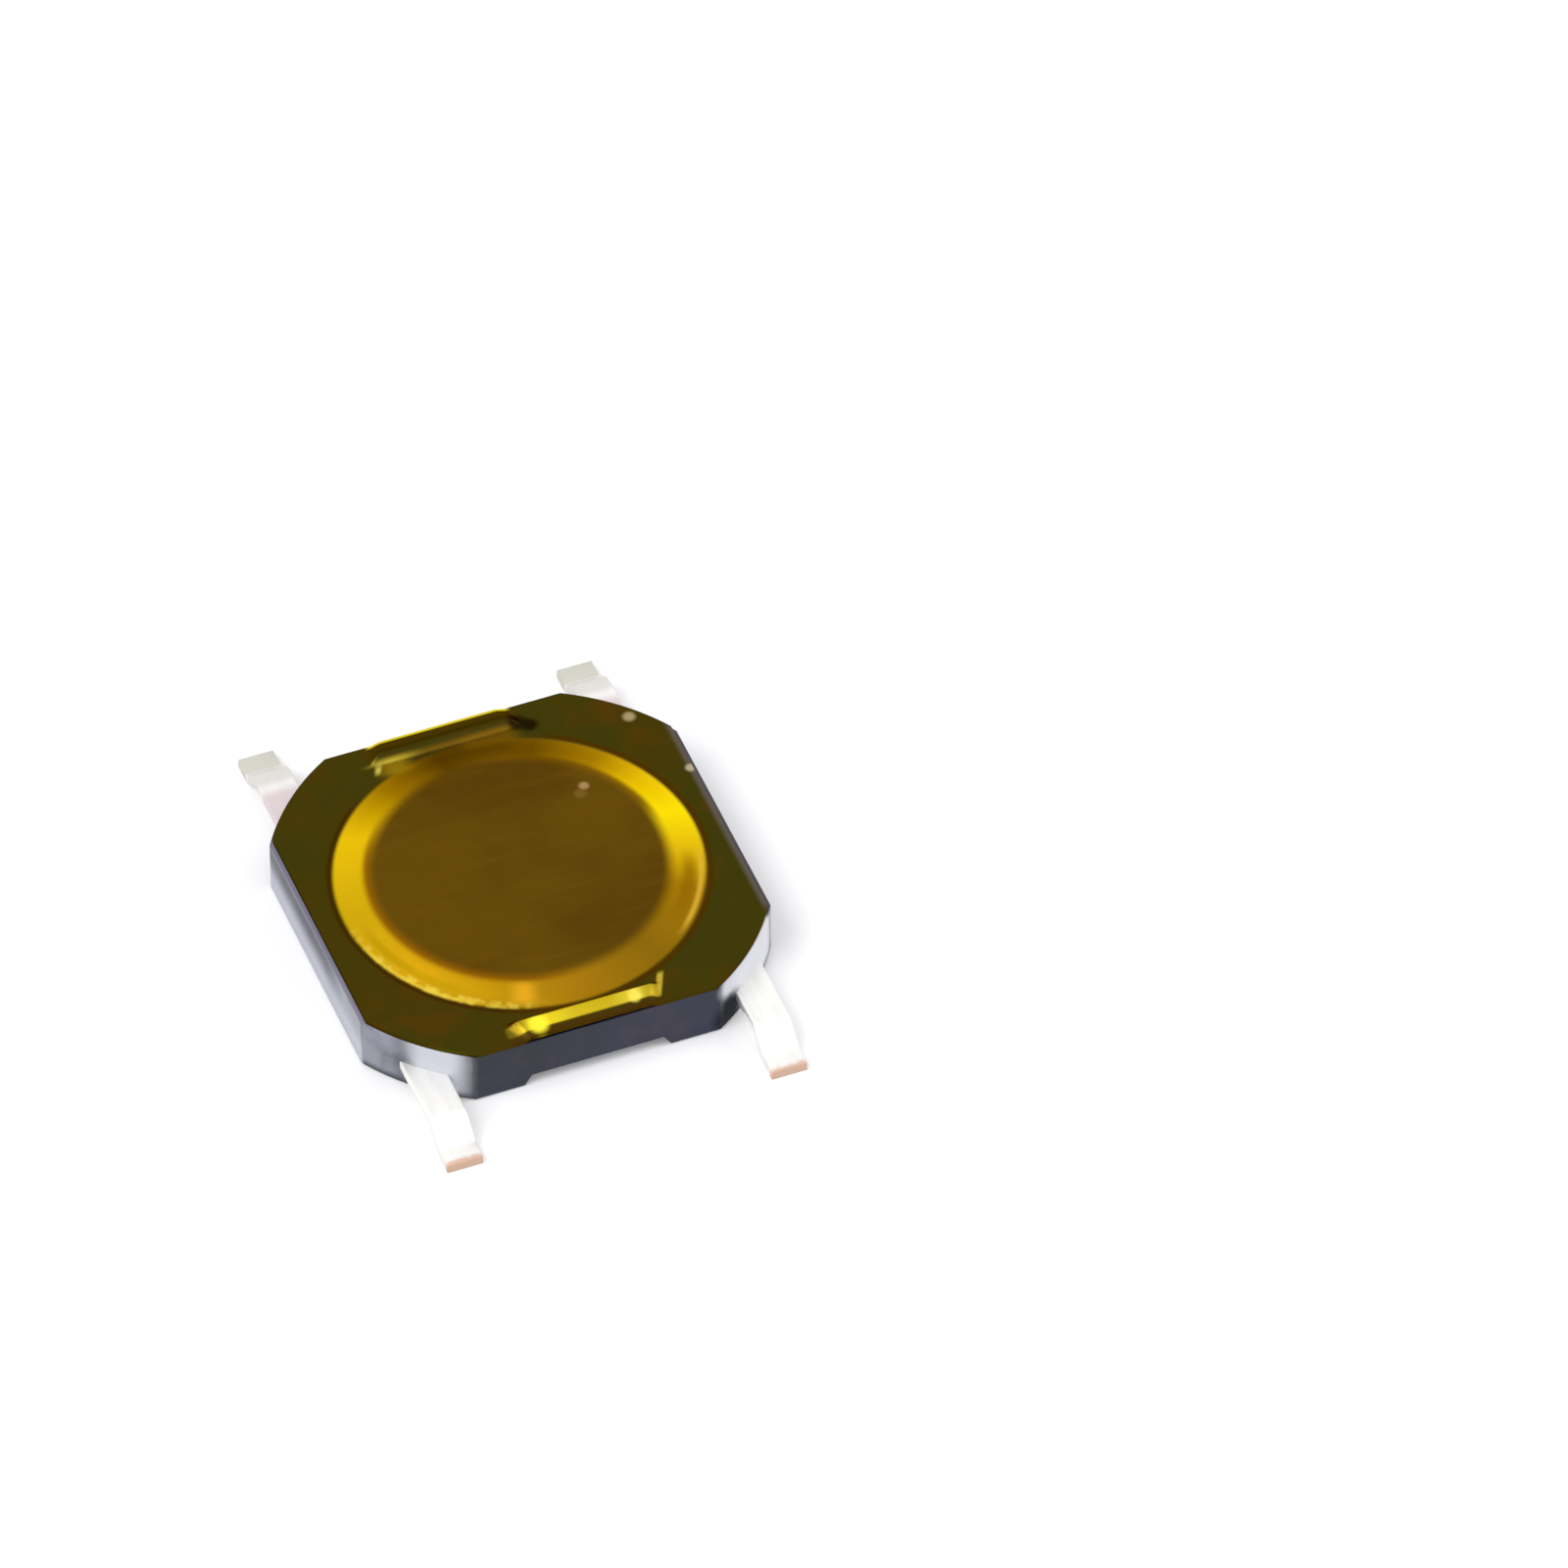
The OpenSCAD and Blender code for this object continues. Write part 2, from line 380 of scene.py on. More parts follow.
class Shader:
    """Node tree of one material or node group, with short ways to add to it."""

    mix_inputs: tuple[int, int, int] = (0, 6, 7)
    mix_output: int = 2

    def __init__(self, tree: Tree) -> None:
        """Work on a node tree."""
        self.tree = tree

    def add(self, kind: str, **settings: object) -> bpy.types.Node:
        """Add a node.

        Args:
            kind: Type of the node.
            **settings: Properties of the node.

        Returns:
            The node.
        """
        node = self.tree.nodes.new(kind)
        for key, value in settings.items():
            setattr(node, key, value)
        return node

    def feed(self, socket: Socket, value: object) -> None:
        """Link a socket to an output, or set it to a plain value.

        Args:
            socket: Socket to feed.
            value: Output or plain value.
        """
        if isinstance(value, Socket):
            self.tree.links.new(value, socket)
        else:
            socket.default_value = value

    def math(self, operation: str, *values: object) -> Socket:
        """Result of a math node on outputs or plain numbers.

        Args:
            operation: Operation of the node.
            *values: Outputs or plain numbers.

        Returns:
            The result.
        """
        node = self.add("ShaderNodeMath", operation=operation)
        for socket, value in zip(node.inputs, values):
            self.feed(socket, value)
        return node.outputs[0]

    def fade(self, value: object, start: object, end: object) -> Socket:
        """Mask that fades in softly as a value rises from the start to the end.

        Args:
            value: The value.
            start: Where the mask starts to rise from 0.
            end: Where it reaches 1.

        Returns:
            The mask.
        """
        node = self.add("ShaderNodeMapRange", interpolation_type="SMOOTHSTEP")
        self.feed(node.inputs["Value"], value)
        self.feed(node.inputs["From Min"], start)
        self.feed(node.inputs["From Max"], end)
        return node.outputs["Result"]

    def fade_out(self, value: object, start: object, end: object) -> Socket:
        """Mask that fades out softly as a value rises from the start to the end."""
        return self.math("SUBTRACT", 1.0, self.fade(value, start, end))

    def between(self, share: object, limits: Span) -> Socket:
        """Number between two limits, by a share from 0 to 1.

        Args:
            share: The share.
            limits: Number at 0 and number at 1.

        Returns:
            The number.
        """
        node = self.add("ShaderNodeMapRange")
        self.feed(node.inputs["Value"], share)
        node.inputs["To Min"].default_value, node.inputs["To Max"].default_value = limits
        return node.outputs["Result"]

    def mix(self, share: object, under: object, over: object) -> Socket:
        """Lay one colour over another.

        Args:
            share: How much of the upper colour shows, from 0 to 1.
            under: Lower colour.
            over: Upper colour.

        Returns:
            The mixed colour.
        """
        node = self.add("ShaderNodeMix", data_type="RGBA")
        for number, value in zip(self.mix_inputs, (share, under, over)):
            self.feed(node.inputs[number], value)
        return node.outputs[self.mix_output]

    def ramp(self, value: object, stops: tuple[Stop, ...]) -> Socket:
        """Colour ramp of a few chosen display colours.

        Args:
            value: Place on the ramp, from 0 to 1.
            stops: Place and display colour of each stop, in order.

        Returns:
            The colour.
        """
        node = self.add("ShaderNodeValToRGB")
        self.feed(node.inputs[0], value)
        elements = node.color_ramp.elements
        while len(elements) < len(stops):
            elements.new(1.0)
        for element, (place, rgb) in zip(elements, stops):
            element.position = place
            element.color = linear(rgb)
        return node.outputs[0]

    def stretched(self, place: Socket, scale: Vec3) -> Socket:
        """A place, stretched along its axes.

        Args:
            place: The place.
            scale: Factor along each axis.

        Returns:
            The stretched place.
        """
        node = self.add("ShaderNodeMapping")
        self.feed(node.inputs["Vector"], place)
        node.inputs["Scale"].default_value = scale
        return node.outputs[0]

    def group(self, tree: Tree, inputs: dict[str, object]) -> Socket:
        """Place a node group.

        Args:
            tree: The group.
            inputs: Its inputs, by name.

        Returns:
            Its first output.
        """
        node = self.add("ShaderNodeGroup", node_tree=tree)
        for key, value in inputs.items():
            self.feed(node.inputs[key], value)
        return node.outputs[0]


def new_group(
    name: str, vectors: tuple[str, ...], numbers: tuple[str, ...], output: tuple[str, str]
) -> tuple[Shader, bpy.types.NodeInputs, Socket]:
    """Start a shader node group.

    Args:
        name: Name of the group.
        vectors: Names of the inputs that take a vector.
        numbers: Names of the inputs that take a number.
        output: Name and socket type of the output.

    Returns:
        The group's tree, its inputs by name, and its output.
    """
    tree = bpy.data.node_groups.new(name, "ShaderNodeTree")
    for kind, keys in ((VECTOR, vectors), (NUMBER, numbers)):
        for key in keys:
            tree.interface.new_socket(name=key, in_out="INPUT", socket_type=kind)
    tree.interface.new_socket(name=output[0], in_out="OUTPUT", socket_type=output[1])
    shader = Shader(tree)
    return shader, shader.add("NodeGroupInput").outputs, shader.add("NodeGroupOutput").inputs[0]


class Effects:
    """Node groups that several finishes share."""

    spot_core: float = 0.35
    relief_detail: float = 3.0

    def __init__(self) -> None:
        """Build each group once."""
        self.patches = self._patches()
        self.spot = self._spot()
        self.mark = self._mark()
        self.relief = self._relief()

    @staticmethod
    def _patches() -> Tree:
        """Mask of soft patches: Place, Scale, Detail, Low and High give Mask.

        Returns:
            The group.
        """
        numbers = ("Scale", "Detail", "Low", "High")
        shader, given, result = new_group("soft_patches", ("Place",), numbers, ("Mask", NUMBER))
        texture = shader.add("ShaderNodeTexNoise")
        for key, source in (("Vector", "Place"), ("Scale", "Scale"), ("Detail", "Detail")):
            shader.feed(texture.inputs[key], given[source])
        shader.feed(result, shader.fade(texture.outputs["Fac"], given["Low"], given["High"]))
        return shader.tree

    def _spot(self) -> Tree:
        """Mask of one round spot: Place, Centre and Radius give Mask.

        Returns:
            The group.
        """
        shader, given, result = new_group("round_spot", ("Place", "Centre"), ("Radius",), ("Mask", NUMBER))
        distance = shader.add("ShaderNodeVectorMath", operation="DISTANCE")
        shader.feed(distance.inputs[0], given["Place"])
        shader.feed(distance.inputs[1], given["Centre"])
        share = shader.math("DIVIDE", distance.outputs["Value"], given["Radius"])
        shader.feed(result, shader.fade_out(share, self.spot_core, 1.0))
        return shader.tree

    @staticmethod
    def _mark() -> Tree:
        """Mask between limits two ways: each way's value, Low, High and Soft give Mask.

        Returns:
            The group.
        """
        ways = ("First", "Second")
        numbers = tuple(f"{way}{part}" for way in ways for part in ("", " Low", " High", " Soft"))
        shader, given, result = new_group("soft_mark", (), numbers, ("Mask", NUMBER))
        mask = 1.0
        for way in ways:
            soft = given[f"{way} Soft"]
            for edge, fade in ((given[f"{way} Low"], shader.fade), (given[f"{way} High"], shader.fade_out)):
                start, end = (shader.math(sign, edge, soft) for sign in ("SUBTRACT", "ADD"))
                mask = shader.math("MULTIPLY", mask, fade(given[way], start, end))
        shader.feed(result, mask)
        return shader.tree

    def _relief(self) -> Tree:
        """Fine unevenness of a surface: Place, Scale, Strength and Depth give Normal.

        Returns:
            The group.
        """
        numbers = ("Scale", "Strength", "Depth")
        shader, given, result = new_group("fine_relief", ("Place",), numbers, ("Normal", VECTOR))
        texture = shader.add("ShaderNodeTexNoise")
        texture.inputs["Detail"].default_value = self.relief_detail
        shader.feed(texture.inputs["Vector"], given["Place"])
        shader.feed(texture.inputs["Scale"], given["Scale"])
        bump = shader.add("ShaderNodeBump")
        shader.feed(bump.inputs["Height"], texture.outputs["Fac"])
        shader.feed(bump.inputs["Strength"], given["Strength"])
        shader.feed(bump.inputs["Distance"], given["Depth"])
        shader.feed(result, bump.outputs["Normal"])
        return shader.tree


class Painter(Shader):
    """Node tree of one material, with the shared effects and the place on the piece at hand."""

    def __init__(self, name: str, effects: Effects) -> None:
        """Start a material of that name.

        Args:
            name: Name of the material.
            effects: Node groups that the finishes share.
        """
        self.material = bpy.data.materials.new(name)
        self.material.use_nodes = True
        super().__init__(self.material.node_tree)
        self.effects = effects
        self.surface = self.tree.nodes["Principled BSDF"].inputs
        node = self.add("ShaderNodeVectorMath", operation="SCALE")
        self.feed(node.inputs[0], self.add("ShaderNodeTexCoord").outputs["Object"])
        node.inputs["Scale"].default_value = 1 / MM
        self.place = node.outputs[0]
        split = self.add("ShaderNodeSeparateXYZ")
        self.feed(split.inputs[0], self.place)
        self.x, self.y, self.z = split.outputs

    def patches(self, kind: Patches) -> Socket:
        """Mask of soft patches.

        Args:
            kind: Size and noise levels of the patches.

        Returns:
            The mask.
        """
        inputs = {"Place": self.stretched(self.place, kind.stretch), "Scale": kind.scale}
        inputs |= {"Detail": kind.detail, "Low": kind.low, "High": kind.high}
        return self.group(self.effects.patches, inputs)

    def uneven(self, kind: Relief) -> None:
        """Give the surface its fine unevenness.

        Args:
            kind: Size and strength of the unevenness.
        """
        inputs = {"Place": self.stretched(self.place, kind.stretch), "Scale": kind.scale}
        inputs |= {"Strength": kind.strength, "Depth": kind.depth}
        self.feed(self.surface["Normal"], self.group(self.effects.relief, inputs))

    def from_above(self) -> Socket:
        """Place on the piece as seen from above, at no height.

        Returns:
            The place.
        """
        node = self.add("ShaderNodeCombineXYZ")
        self.feed(node.inputs["X"], self.x)
        self.feed(node.inputs["Y"], self.y)
        return node.outputs[0]

    def spot_mask(self, spot: Spot, place: Socket) -> Socket:
        """Mask of a round spot."""
        inputs = {"Place": place, "Centre": spot.centre, "Radius": spot.radius}
        return self.math("MULTIPLY", self.group(self.effects.spot, inputs), spot.strength)

    def spot(self, under: object, spot: Spot, place: Socket) -> Socket:
        """Lay a round spot over a colour."""
        return self.mix(self.spot_mask(spot, place), under, linear(spot.colour))

    def mask(self, ways: Ways, mark: Mark) -> Socket:
        """Mask of a mark that lies along two ways.

        Args:
            ways: The two values that the mark's limits are for.
            mark: The mark.

        Returns:
            The mask, times the mark's strength.
        """
        inputs = {"First": ways[0], "First Low": mark.first[0], "First High": mark.first[1]}
        inputs |= {"Second": ways[1], "Second Low": mark.second[0], "Second High": mark.second[1]}
        inputs |= {"First Soft": mark.soft[0], "Second Soft": mark.soft[1]}
        return self.math("MULTIPLY", self.group(self.effects.mark, inputs), mark.strength)

    def mark(self, under: object, ways: Ways, mark: Mark) -> Socket:
        """Lay a mark over a colour."""
        return self.mix(self.mask(ways, mark), under, linear(mark.colour))

    def finish(self, colour: Socket, roughness: Socket) -> Material:
        """Give the surface its colour and roughness, and hand over the material.

        Args:
            colour: Colour over the surface.
            roughness: Roughness over the surface.

        Returns:
            The material.
        """
        self.feed(self.surface["Base Color"], colour)
        self.feed(self.surface["Roughness"], roughness)
        return self.material


# Finishes


@dataclass(frozen=True)
class MouldedPlastic:
    """Satin black moulded plastic with bloom and stains, pale arrises of wear and painted highlight,
    painted reflection and glare on the walls by the leads, and a painted shadow under the front-right lead.
    """

    black: Rgb = (17, 18, 29)
    bluish: Rgb = (30, 34, 55)
    purplish: Rgb = (50, 36, 50)
    # Pale colour on the arrises: partly rubbed wear, partly painted highlight.
    arris_wear_and_highlight: Rgb = (158, 160, 174)
    bloom: Patches = Patches(scale=0.9, detail=3.0, low=0.4, high=0.68)
    stain: Patches = Patches(scale=2.3, detail=4.0, low=0.52, high=0.75)
    rubbed_and_lit: Patches = Patches(scale=3.1, detail=2.0, low=0.3, high=0.6)
    stain_strength: float = 0.75
    wear_and_highlight_strength: float = 0.7
    roughness: Span = (0.3, 0.42)
    under_rise: Span = (0.13, 0.2)
    under_matt: float = 0.12
    # Extra roughness where the painted shadow under the front-right lead lies.
    lead_shadow_matt: float = 0.6
    sheen_tint: Rgb = (222, 230, 255)
    grain: Relief = Relief(scale=26.0, strength=0.1, depth=1.5e-6)
    # Painted reflection on the top rim strips at the left and right, and on the lower left wall.
    rim_and_wall_reflections: tuple[Mark, ...] = (
        Mark((-2.5, -2.3), (0.64, 0.7), (0.02, 0.02), (118, 114, 132), 0.85),
        Mark((2.3, 2.5), (0.64, 0.7), (0.02, 0.02), (60, 54, 54), 0.9),
        Mark((-2.5, -2.385), (-0.2, 0.36), (0.01, 0.2), (184, 185, 198), 0.85),
    )
    glare: Spot = Spot((1.58, -2.3, 0.58), 0.24, (214, 215, 224), 0.9)
    # Painted shadow at the foot of the wall under the front-right lead.
    lead_shadow: Spot = Spot((1.58, -2.3, 0.17), 0.34, (3, 3, 4), 1.0)
    # Painted glare and reflection on the walls by the leads and at the rear corners, broken up by patches
    # and kept off the underside.
    glare_breakup: Patches = Patches(scale=1.6, detail=5.0, low=0.22, high=0.5)
    glare_rise: Span = (0.02, 0.14)
    painted_glare: tuple[Mark, ...] = (
        Mark((-2.05, -1.52), (-2.5, -1.8), (0.15, 0.15), (206, 207, 216), 0.9),
        Mark((-2.5, -2.1), (-2.1, -0.6), (0.1, 0.4), (168, 170, 182), 0.65),
        Mark((1.63, 2.5), (-2.4, -1.5), (0.06, 0.12), (222, 223, 230), 0.95),
        Mark((-2.2, -1.5), (1.7, 2.5), (0.2, 0.2), (118, 120, 136), 0.6),
        Mark((1.5, 2.2), (1.7, 2.5), (0.2, 0.2), (118, 120, 136), 0.6),
    )

    def material(self, effects: Effects) -> Material:
        """Build the material.

        Args:
            effects: Node groups that the finishes share.

        Returns:
            The material.
        """
        paint = Painter("moulded_black_plastic", effects)
        bloom = paint.patches(self.bloom)
        stain = paint.math("MULTIPLY", paint.patches(self.stain), self.stain_strength)
        colour = paint.mix(bloom, linear(self.black), linear(self.bluish))
        colour = paint.mix(stain, colour, linear(self.purplish))
        glare_breakup = paint.math("MULTIPLY", paint.patches(self.glare_breakup), paint.fade(paint.z, *self.glare_rise))
        # Painted glare and reflection on the walls.
        for painted_glare in self.painted_glare:
            glare_share = paint.math("MULTIPLY", paint.mask((paint.x, paint.y), painted_glare), glare_breakup)
            colour = paint.mix(glare_share, colour, linear(painted_glare.colour))
        # Painted reflection on the rims and the left wall.
        for rim in self.rim_and_wall_reflections:
            colour = paint.mark(colour, (paint.x, paint.z), rim)
        # Painted glare by the front-right lead, and a painted shadow under it.
        for spot in (self.glare, self.lead_shadow):
            colour = paint.spot(colour, spot, paint.place)
        # Pale arrises: rubbed wear and painted highlight.
        arris = paint.add("ShaderNodeAttribute", attribute_name=ARRIS).outputs["Fac"]
        rubbed_and_lit = paint.math("MULTIPLY", paint.patches(self.rubbed_and_lit), self.wear_and_highlight_strength)
        colour = paint.mix(paint.math("MULTIPLY", arris, rubbed_and_lit), colour, linear(self.arris_wear_and_highlight))
        roughness = paint.between(bloom, self.roughness)
        under = paint.fade_out(paint.z, *self.under_rise)
        lead_shadow = paint.spot_mask(self.lead_shadow, paint.place)
        for mask, matt in ((under, self.under_matt), (lead_shadow, self.lead_shadow_matt)):
            roughness = paint.math("MULTIPLY_ADD", mask, matt, roughness)
        paint.surface["Specular Tint"].default_value = linear(self.sheen_tint)
        paint.uneven(self.grain)
        return paint.finish(colour, roughness)


@dataclass(frozen=True)
class PlatedSheet:
    """Silver-plated contact sheet: greyer rear feet, pinkish roots, bare copper at the cut ends, and
    painted shade on the plate in the window.
    """

    silver: Rgb = (246, 245, 242)
    dull_silver: Rgb = (226, 225, 220)
    copper: Rgb = (214, 178, 156)
    metallic: float = 0.6
    tip_y: float = 3.3
    cut_depth: Span = (0.07, 0.006)
    ragged: float = 0.05
    rolled: Patches = Patches(scale=1.4, detail=2.0, low=0.4, high=0.75, stretch=(9.0, 1.2, 9.0))
    dull: Patches = Patches(scale=4.0, detail=2.0, low=0.35, high=0.7)
    rolled_strength: float = 0.4
    roughness: Span = (0.36, 0.5)
    rolling: Relief = Relief(scale=4.0, strength=0.02, depth=1e-6, stretch=(8.0, 1.0, 1.0))
    tones_and_window_shade: tuple[Mark, ...] = (
        Mark((-2.5, 2.5), (3.04, 3.4), (0.05, 0.03), (198, 198, 186), 0.9),
        Mark((-2.5, 2.5), (-3.4, -3.06), (0.05, 0.03), (232, 231, 226), 0.5),
        Mark((-2.5, 2.5), (0.0, 2.5), (0.05, 0.1), (214, 198, 201), 0.8),
        Mark((-2.5, 2.5), (2.6, 3.02), (0.05, 0.08), (212, 208, 204), 0.8),
        # Painted shade on the plate where it lies deep in the window underneath.
        Mark((-0.62, 0.62), (-0.55, 0.55), (0.01, 0.01), (56, 56, 66), 1.0),
    )

    def material(self, effects: Effects) -> Material:
        """Build the material.

        Args:
            effects: Node groups that the finishes share.

        Returns:
            The material.
        """
        paint = Painter("silver_plated_sheet", effects)
        rolled = paint.math("MULTIPLY", paint.patches(self.rolled), self.rolled_strength)
        dull = paint.patches(self.dull)
        colour = paint.mix(rolled, linear(self.silver), linear(self.dull_silver))
        # Tones of the sheet, and painted shade on the plate in the window.
        for mark in self.tones_and_window_shade:
            colour = paint.mark(colour, (paint.x, paint.y), mark)
        front = paint.math("MULTIPLY", paint.y, -1.0)
        frayed = paint.math("MULTIPLY_ADD", dull, self.ragged, front)
        for reach, depth in zip((frayed, paint.y), self.cut_depth):
            bare = paint.fade(reach, self.tip_y - depth, self.tip_y)
            colour = paint.mix(bare, colour, linear(self.copper))
        paint.surface["Metallic"].default_value = self.metallic
        paint.uneven(self.rolling)
        return paint.finish(colour, paint.between(dull, self.roughness))


@dataclass(frozen=True)
class SpringSteel:
    """Bright rolled spring steel with fine streaks."""

    bright: Rgb = (214, 210, 200)
    streak: Rgb = (176, 172, 164)
    rolled: Patches = Patches(scale=1.6, detail=4.0, low=0.35, high=0.7, stretch=(1.0, 26.0, 1.0))
    roughness: Span = (0.22, 0.36)

    def material(self, effects: Effects) -> Material:
        """Build the material.

        Args:
            effects: Node groups that the finishes share.

        Returns:
            The material.
        """
        paint = Painter("rolled_spring_steel", effects)
        rolled = paint.patches(self.rolled)
        colour = paint.mix(rolled, linear(self.bright), linear(self.streak))
        paint.surface["Metallic"].default_value = 1.0
        return paint.finish(colour, paint.between(rolled, self.roughness))


@dataclass(frozen=True)
class AmberFilm:
    """Amber film with a soft gloss: olive on the housing, brown on the dome, yellow where it slopes, with
    painted reflection round the slope and painted highlights and shade along the air channels.
    """

    olive: Rgb = (70, 58, 13)
    olive_green: Rgb = (63, 59, 15)
    olive_brown: Rgb = (86, 58, 14)
    disc: Rgb = (101, 74, 16)
    disc_dark: Rgb = (91, 64, 14)
    disc_pale: Rgb = (111, 82, 20)
    metallic: float = 1.0
    edge_tint: Rgb = (200, 180, 100)
    green: Patches = Patches(scale=0.7, detail=2.0, low=0.42, high=0.64)
    brown: Patches = Patches(scale=1.9, detail=4.0, low=0.48, high=0.74)
    shaded: Patches = Patches(scale=0.6, detail=3.0, low=0.4, high=0.66)
    streaks: Patches = Patches(scale=1.5, detail=4.0, low=0.45, high=0.75, stretch=(0.8, 5.0, 1.0))
    smears: Patches = Patches(scale=2.0, detail=3.0, low=0.3, high=0.7)
    brown_strength: float = 0.7
    streak_strength: float = 0.3
    disc_fade: Span = (1.56, 1.75)
    ring_fade: Span = (2.02, 2.08)
    roughness: Span = (0.3, 0.42)
    dimples: Relief = Relief(scale=5.0, strength=0.2, depth=1.5e-6)
    # Painted reflection round the sloping ring: bright at the sides, dull at the front and back.
    ring_reflection_sweep: tuple[Stop, ...] = (
        (0.0, (206, 168, 16)),
        (0.08, (212, 162, 18)),
        (0.17, (190, 145, 14)),
        (0.25, (165, 120, 16)),
        (0.33, (140, 104, 14)),
        (0.42, (164, 120, 12)),
        (0.47, (230, 190, 22)),
        (0.52, (255, 228, 18)),
        (0.57, (236, 194, 20)),
        (0.62, (172, 128, 18)),
        (0.68, (114, 82, 10)),
        (0.77, (94, 66, 6)),
        (0.83, (160, 118, 8)),
        (0.9, (236, 194, 20)),
        (1.0, (206, 168, 16)),
    )
    # Painted highlights and dull bands on the ring, and a painted shadow line round its foot.
    ring_highlights_and_shade: tuple[Mark, ...] = (
        Mark((1.56, 1.72), (-200.0, -95.0), (0.05, 12.0), (150, 92, 6), 0.9),
        Mark((1.56, 1.72), (140.0, 220.0), (0.05, 20.0), (150, 92, 6), 0.9),
        Mark((1.86, 1.94), (-172.0, -128.0), (0.03, 8.0), (184, 148, 8), 0.7),
        Mark((1.74, 1.98), (-113.0, -106.0), (0.06, 3.5), (246, 178, 38), 0.65),
        Mark((1.8, 1.93), (-44.0, -16.0), (0.05, 7.0), (146, 102, 6), 0.7),
        Mark((1.97, 2.02), (-46.0, -14.0), (0.025, 6.0), (226, 184, 58), 0.75),
        Mark((2.01, 2.05), (-168.0, -126.0), (0.015, 5.0), (234, 208, 70), 0.6),
        Mark((2.08, 2.12), (-200.0, 60.0), (0.02, 8.0), (64, 38, 3), 0.85),
        Mark((2.08, 2.12), (130.0, 220.0), (0.02, 8.0), (64, 38, 3), 0.85),
        Mark((2.07, 2.12), (-110.0, 60.0), (0.02, 8.0), (84, 52, 4), 0.7),
        Mark((1.5, 1.71), (8.0, 84.0), (0.05, 10.0), (122, 84, 8), 0.85),
    )
    # Painted glints along the ring's outer edge at the lower left.
    glint_speckles: Patches = Patches(scale=9.0, detail=3.0, low=0.36, high=0.66)
    glinting_edge: Mark = Mark((1.97, 2.06), (-172.0, -108.0), (0.025, 12.0), (240, 214, 78), 0.7)
    # Painted highlight along the front channel's lip, with a hot spot.
    lip_highlight: Mark = Mark((-1.0, 0.77), (-2.31, -2.165), (0.03, 0.015), (206, 178, 32))
    lip_highlight_run: tuple[Stop, ...] = (
        (0.0, (92, 78, 20)),
        (0.11, (140, 118, 26)),
        (0.165, (224, 200, 40)),
        (0.216, (255, 240, 44)),
        (0.29, (234, 210, 40)),
        (0.45, (212, 186, 36)),
        (0.65, (204, 176, 32)),
        (0.765, (226, 202, 56)),
        (0.804, (250, 232, 84)),
        (0.86, (202, 174, 44)),
        (1.0, (150, 124, 30)),
    )
    lip_highlight_span: Span = (-1.06, 0.88)
    # Painted shade in the channels' valleys and slopes, painted highlights on their foot lines and the rear
    # edge, and a grey strip along the right edge.
    channel_highlights_and_shade: tuple[Mark, ...] = (
        Mark((-0.95, 0.8), (-2.16, -2.09), (0.05, 0.02), (92, 48, 6), 0.9),
        Mark((-1.0, 0.8), (-2.45, -2.34), (0.05, 0.02), (74, 52, 12), 0.9),
        Mark((-1.0, 0.8), (2.17, 2.45), (0.05, 0.04), (74, 56, 12), 0.8),
        Mark((-0.85, 0.7), (2.2, 2.25), (0.12, 0.04), (44, 40, 6), 0.7),
        Mark((-0.86, -0.55), (1.9, 2.1), (0.12, 0.05), (156, 122, 18), 0.8),
        Mark((0.1, 0.72), (1.92, 2.12), (0.1, 0.03), (120, 86, 14), 0.7),
        Mark((-0.9, 0.7), (2.09, 2.12), (0.04, 0.03), (136, 102, 20), 0.8),
        Mark((-0.92, -0.5), (2.085, 2.12), (0.2, 0.025), (196, 176, 56), 0.9),
        Mark((2.3, 2.4), (-1.5, 1.6), (0.04, 0.15), (106, 98, 92), 0.7),
        Mark((-0.9, 0.76), (2.365, 2.45), (0.04, 0.015), (232, 212, 56), 0.95),
    )
    tab_lean: float = -0.45
    # Painted highlights on the tabs at the channels' ends.
    tab_highlights: tuple[Mark, ...] = (
        Mark((1.745, 1.815), (-2.3, -1.98), (0.02, 0.04), (204, 176, 58), 0.9),
        Mark((-1.84, -1.78), (1.97, 2.08), (0.03, 0.05), (218, 206, 92), 0.85),
    )
    # Painted highlights on the front lip, painted shade at the rear channel's right end, and four pale
    # specks of dirt.
    highlights_shade_and_specks: tuple[Spot, ...] = (
        Spot((-0.64, -2.27, 0.0), 0.15, (255, 244, 60), 1.0),
        Spot((0.48, -2.26, 0.0), 0.1, (250, 232, 92), 0.9),
        Spot((0.78, 2.15, 0.0), 0.16, (34, 24, 6), 0.95),
        Spot((0.9, 2.07, 0.0), 0.14, (30, 22, 6), 0.95),
        Spot((1.1, 0.9, 0.0), 0.08, (184, 150, 100), 0.75),
        Spot((1.02, 0.8, 0.0), 0.1, (134, 104, 44), 0.5),
        Spot((1.97, 1.78, 0.0), 0.1, (184, 164, 118), 0.8),
        Spot((2.32, 0.8, 0.0), 0.08, (196, 184, 150), 0.8),
    )

    def _ground(self, paint: Painter) -> Socket:
        """Colour of the film where it lies flat on the housing.

        Args:
            paint: Painter of the film's material.

        Returns:
            The colour.
        """
        colour = paint.mix(paint.patches(self.green), linear(self.olive), linear(self.olive_green))
        brown = paint.math("MULTIPLY", paint.patches(self.brown), self.brown_strength)
        return paint.mix(brown, colour, linear(self.olive_brown))

    def _crown(self, paint: Painter) -> Socket:
        """Colour of the flat disc over the dome, with faint streaks of its rolled steel.

        Args:
            paint: Painter of the film's material.

        Returns:
            The colour.
        """
        colour = paint.mix(paint.patches(self.shaded), linear(self.disc), linear(self.disc_dark))
        streaks = paint.math("MULTIPLY", paint.patches(self.streaks), self.streak_strength)
        return paint.mix(streaks, colour, linear(self.disc_pale))

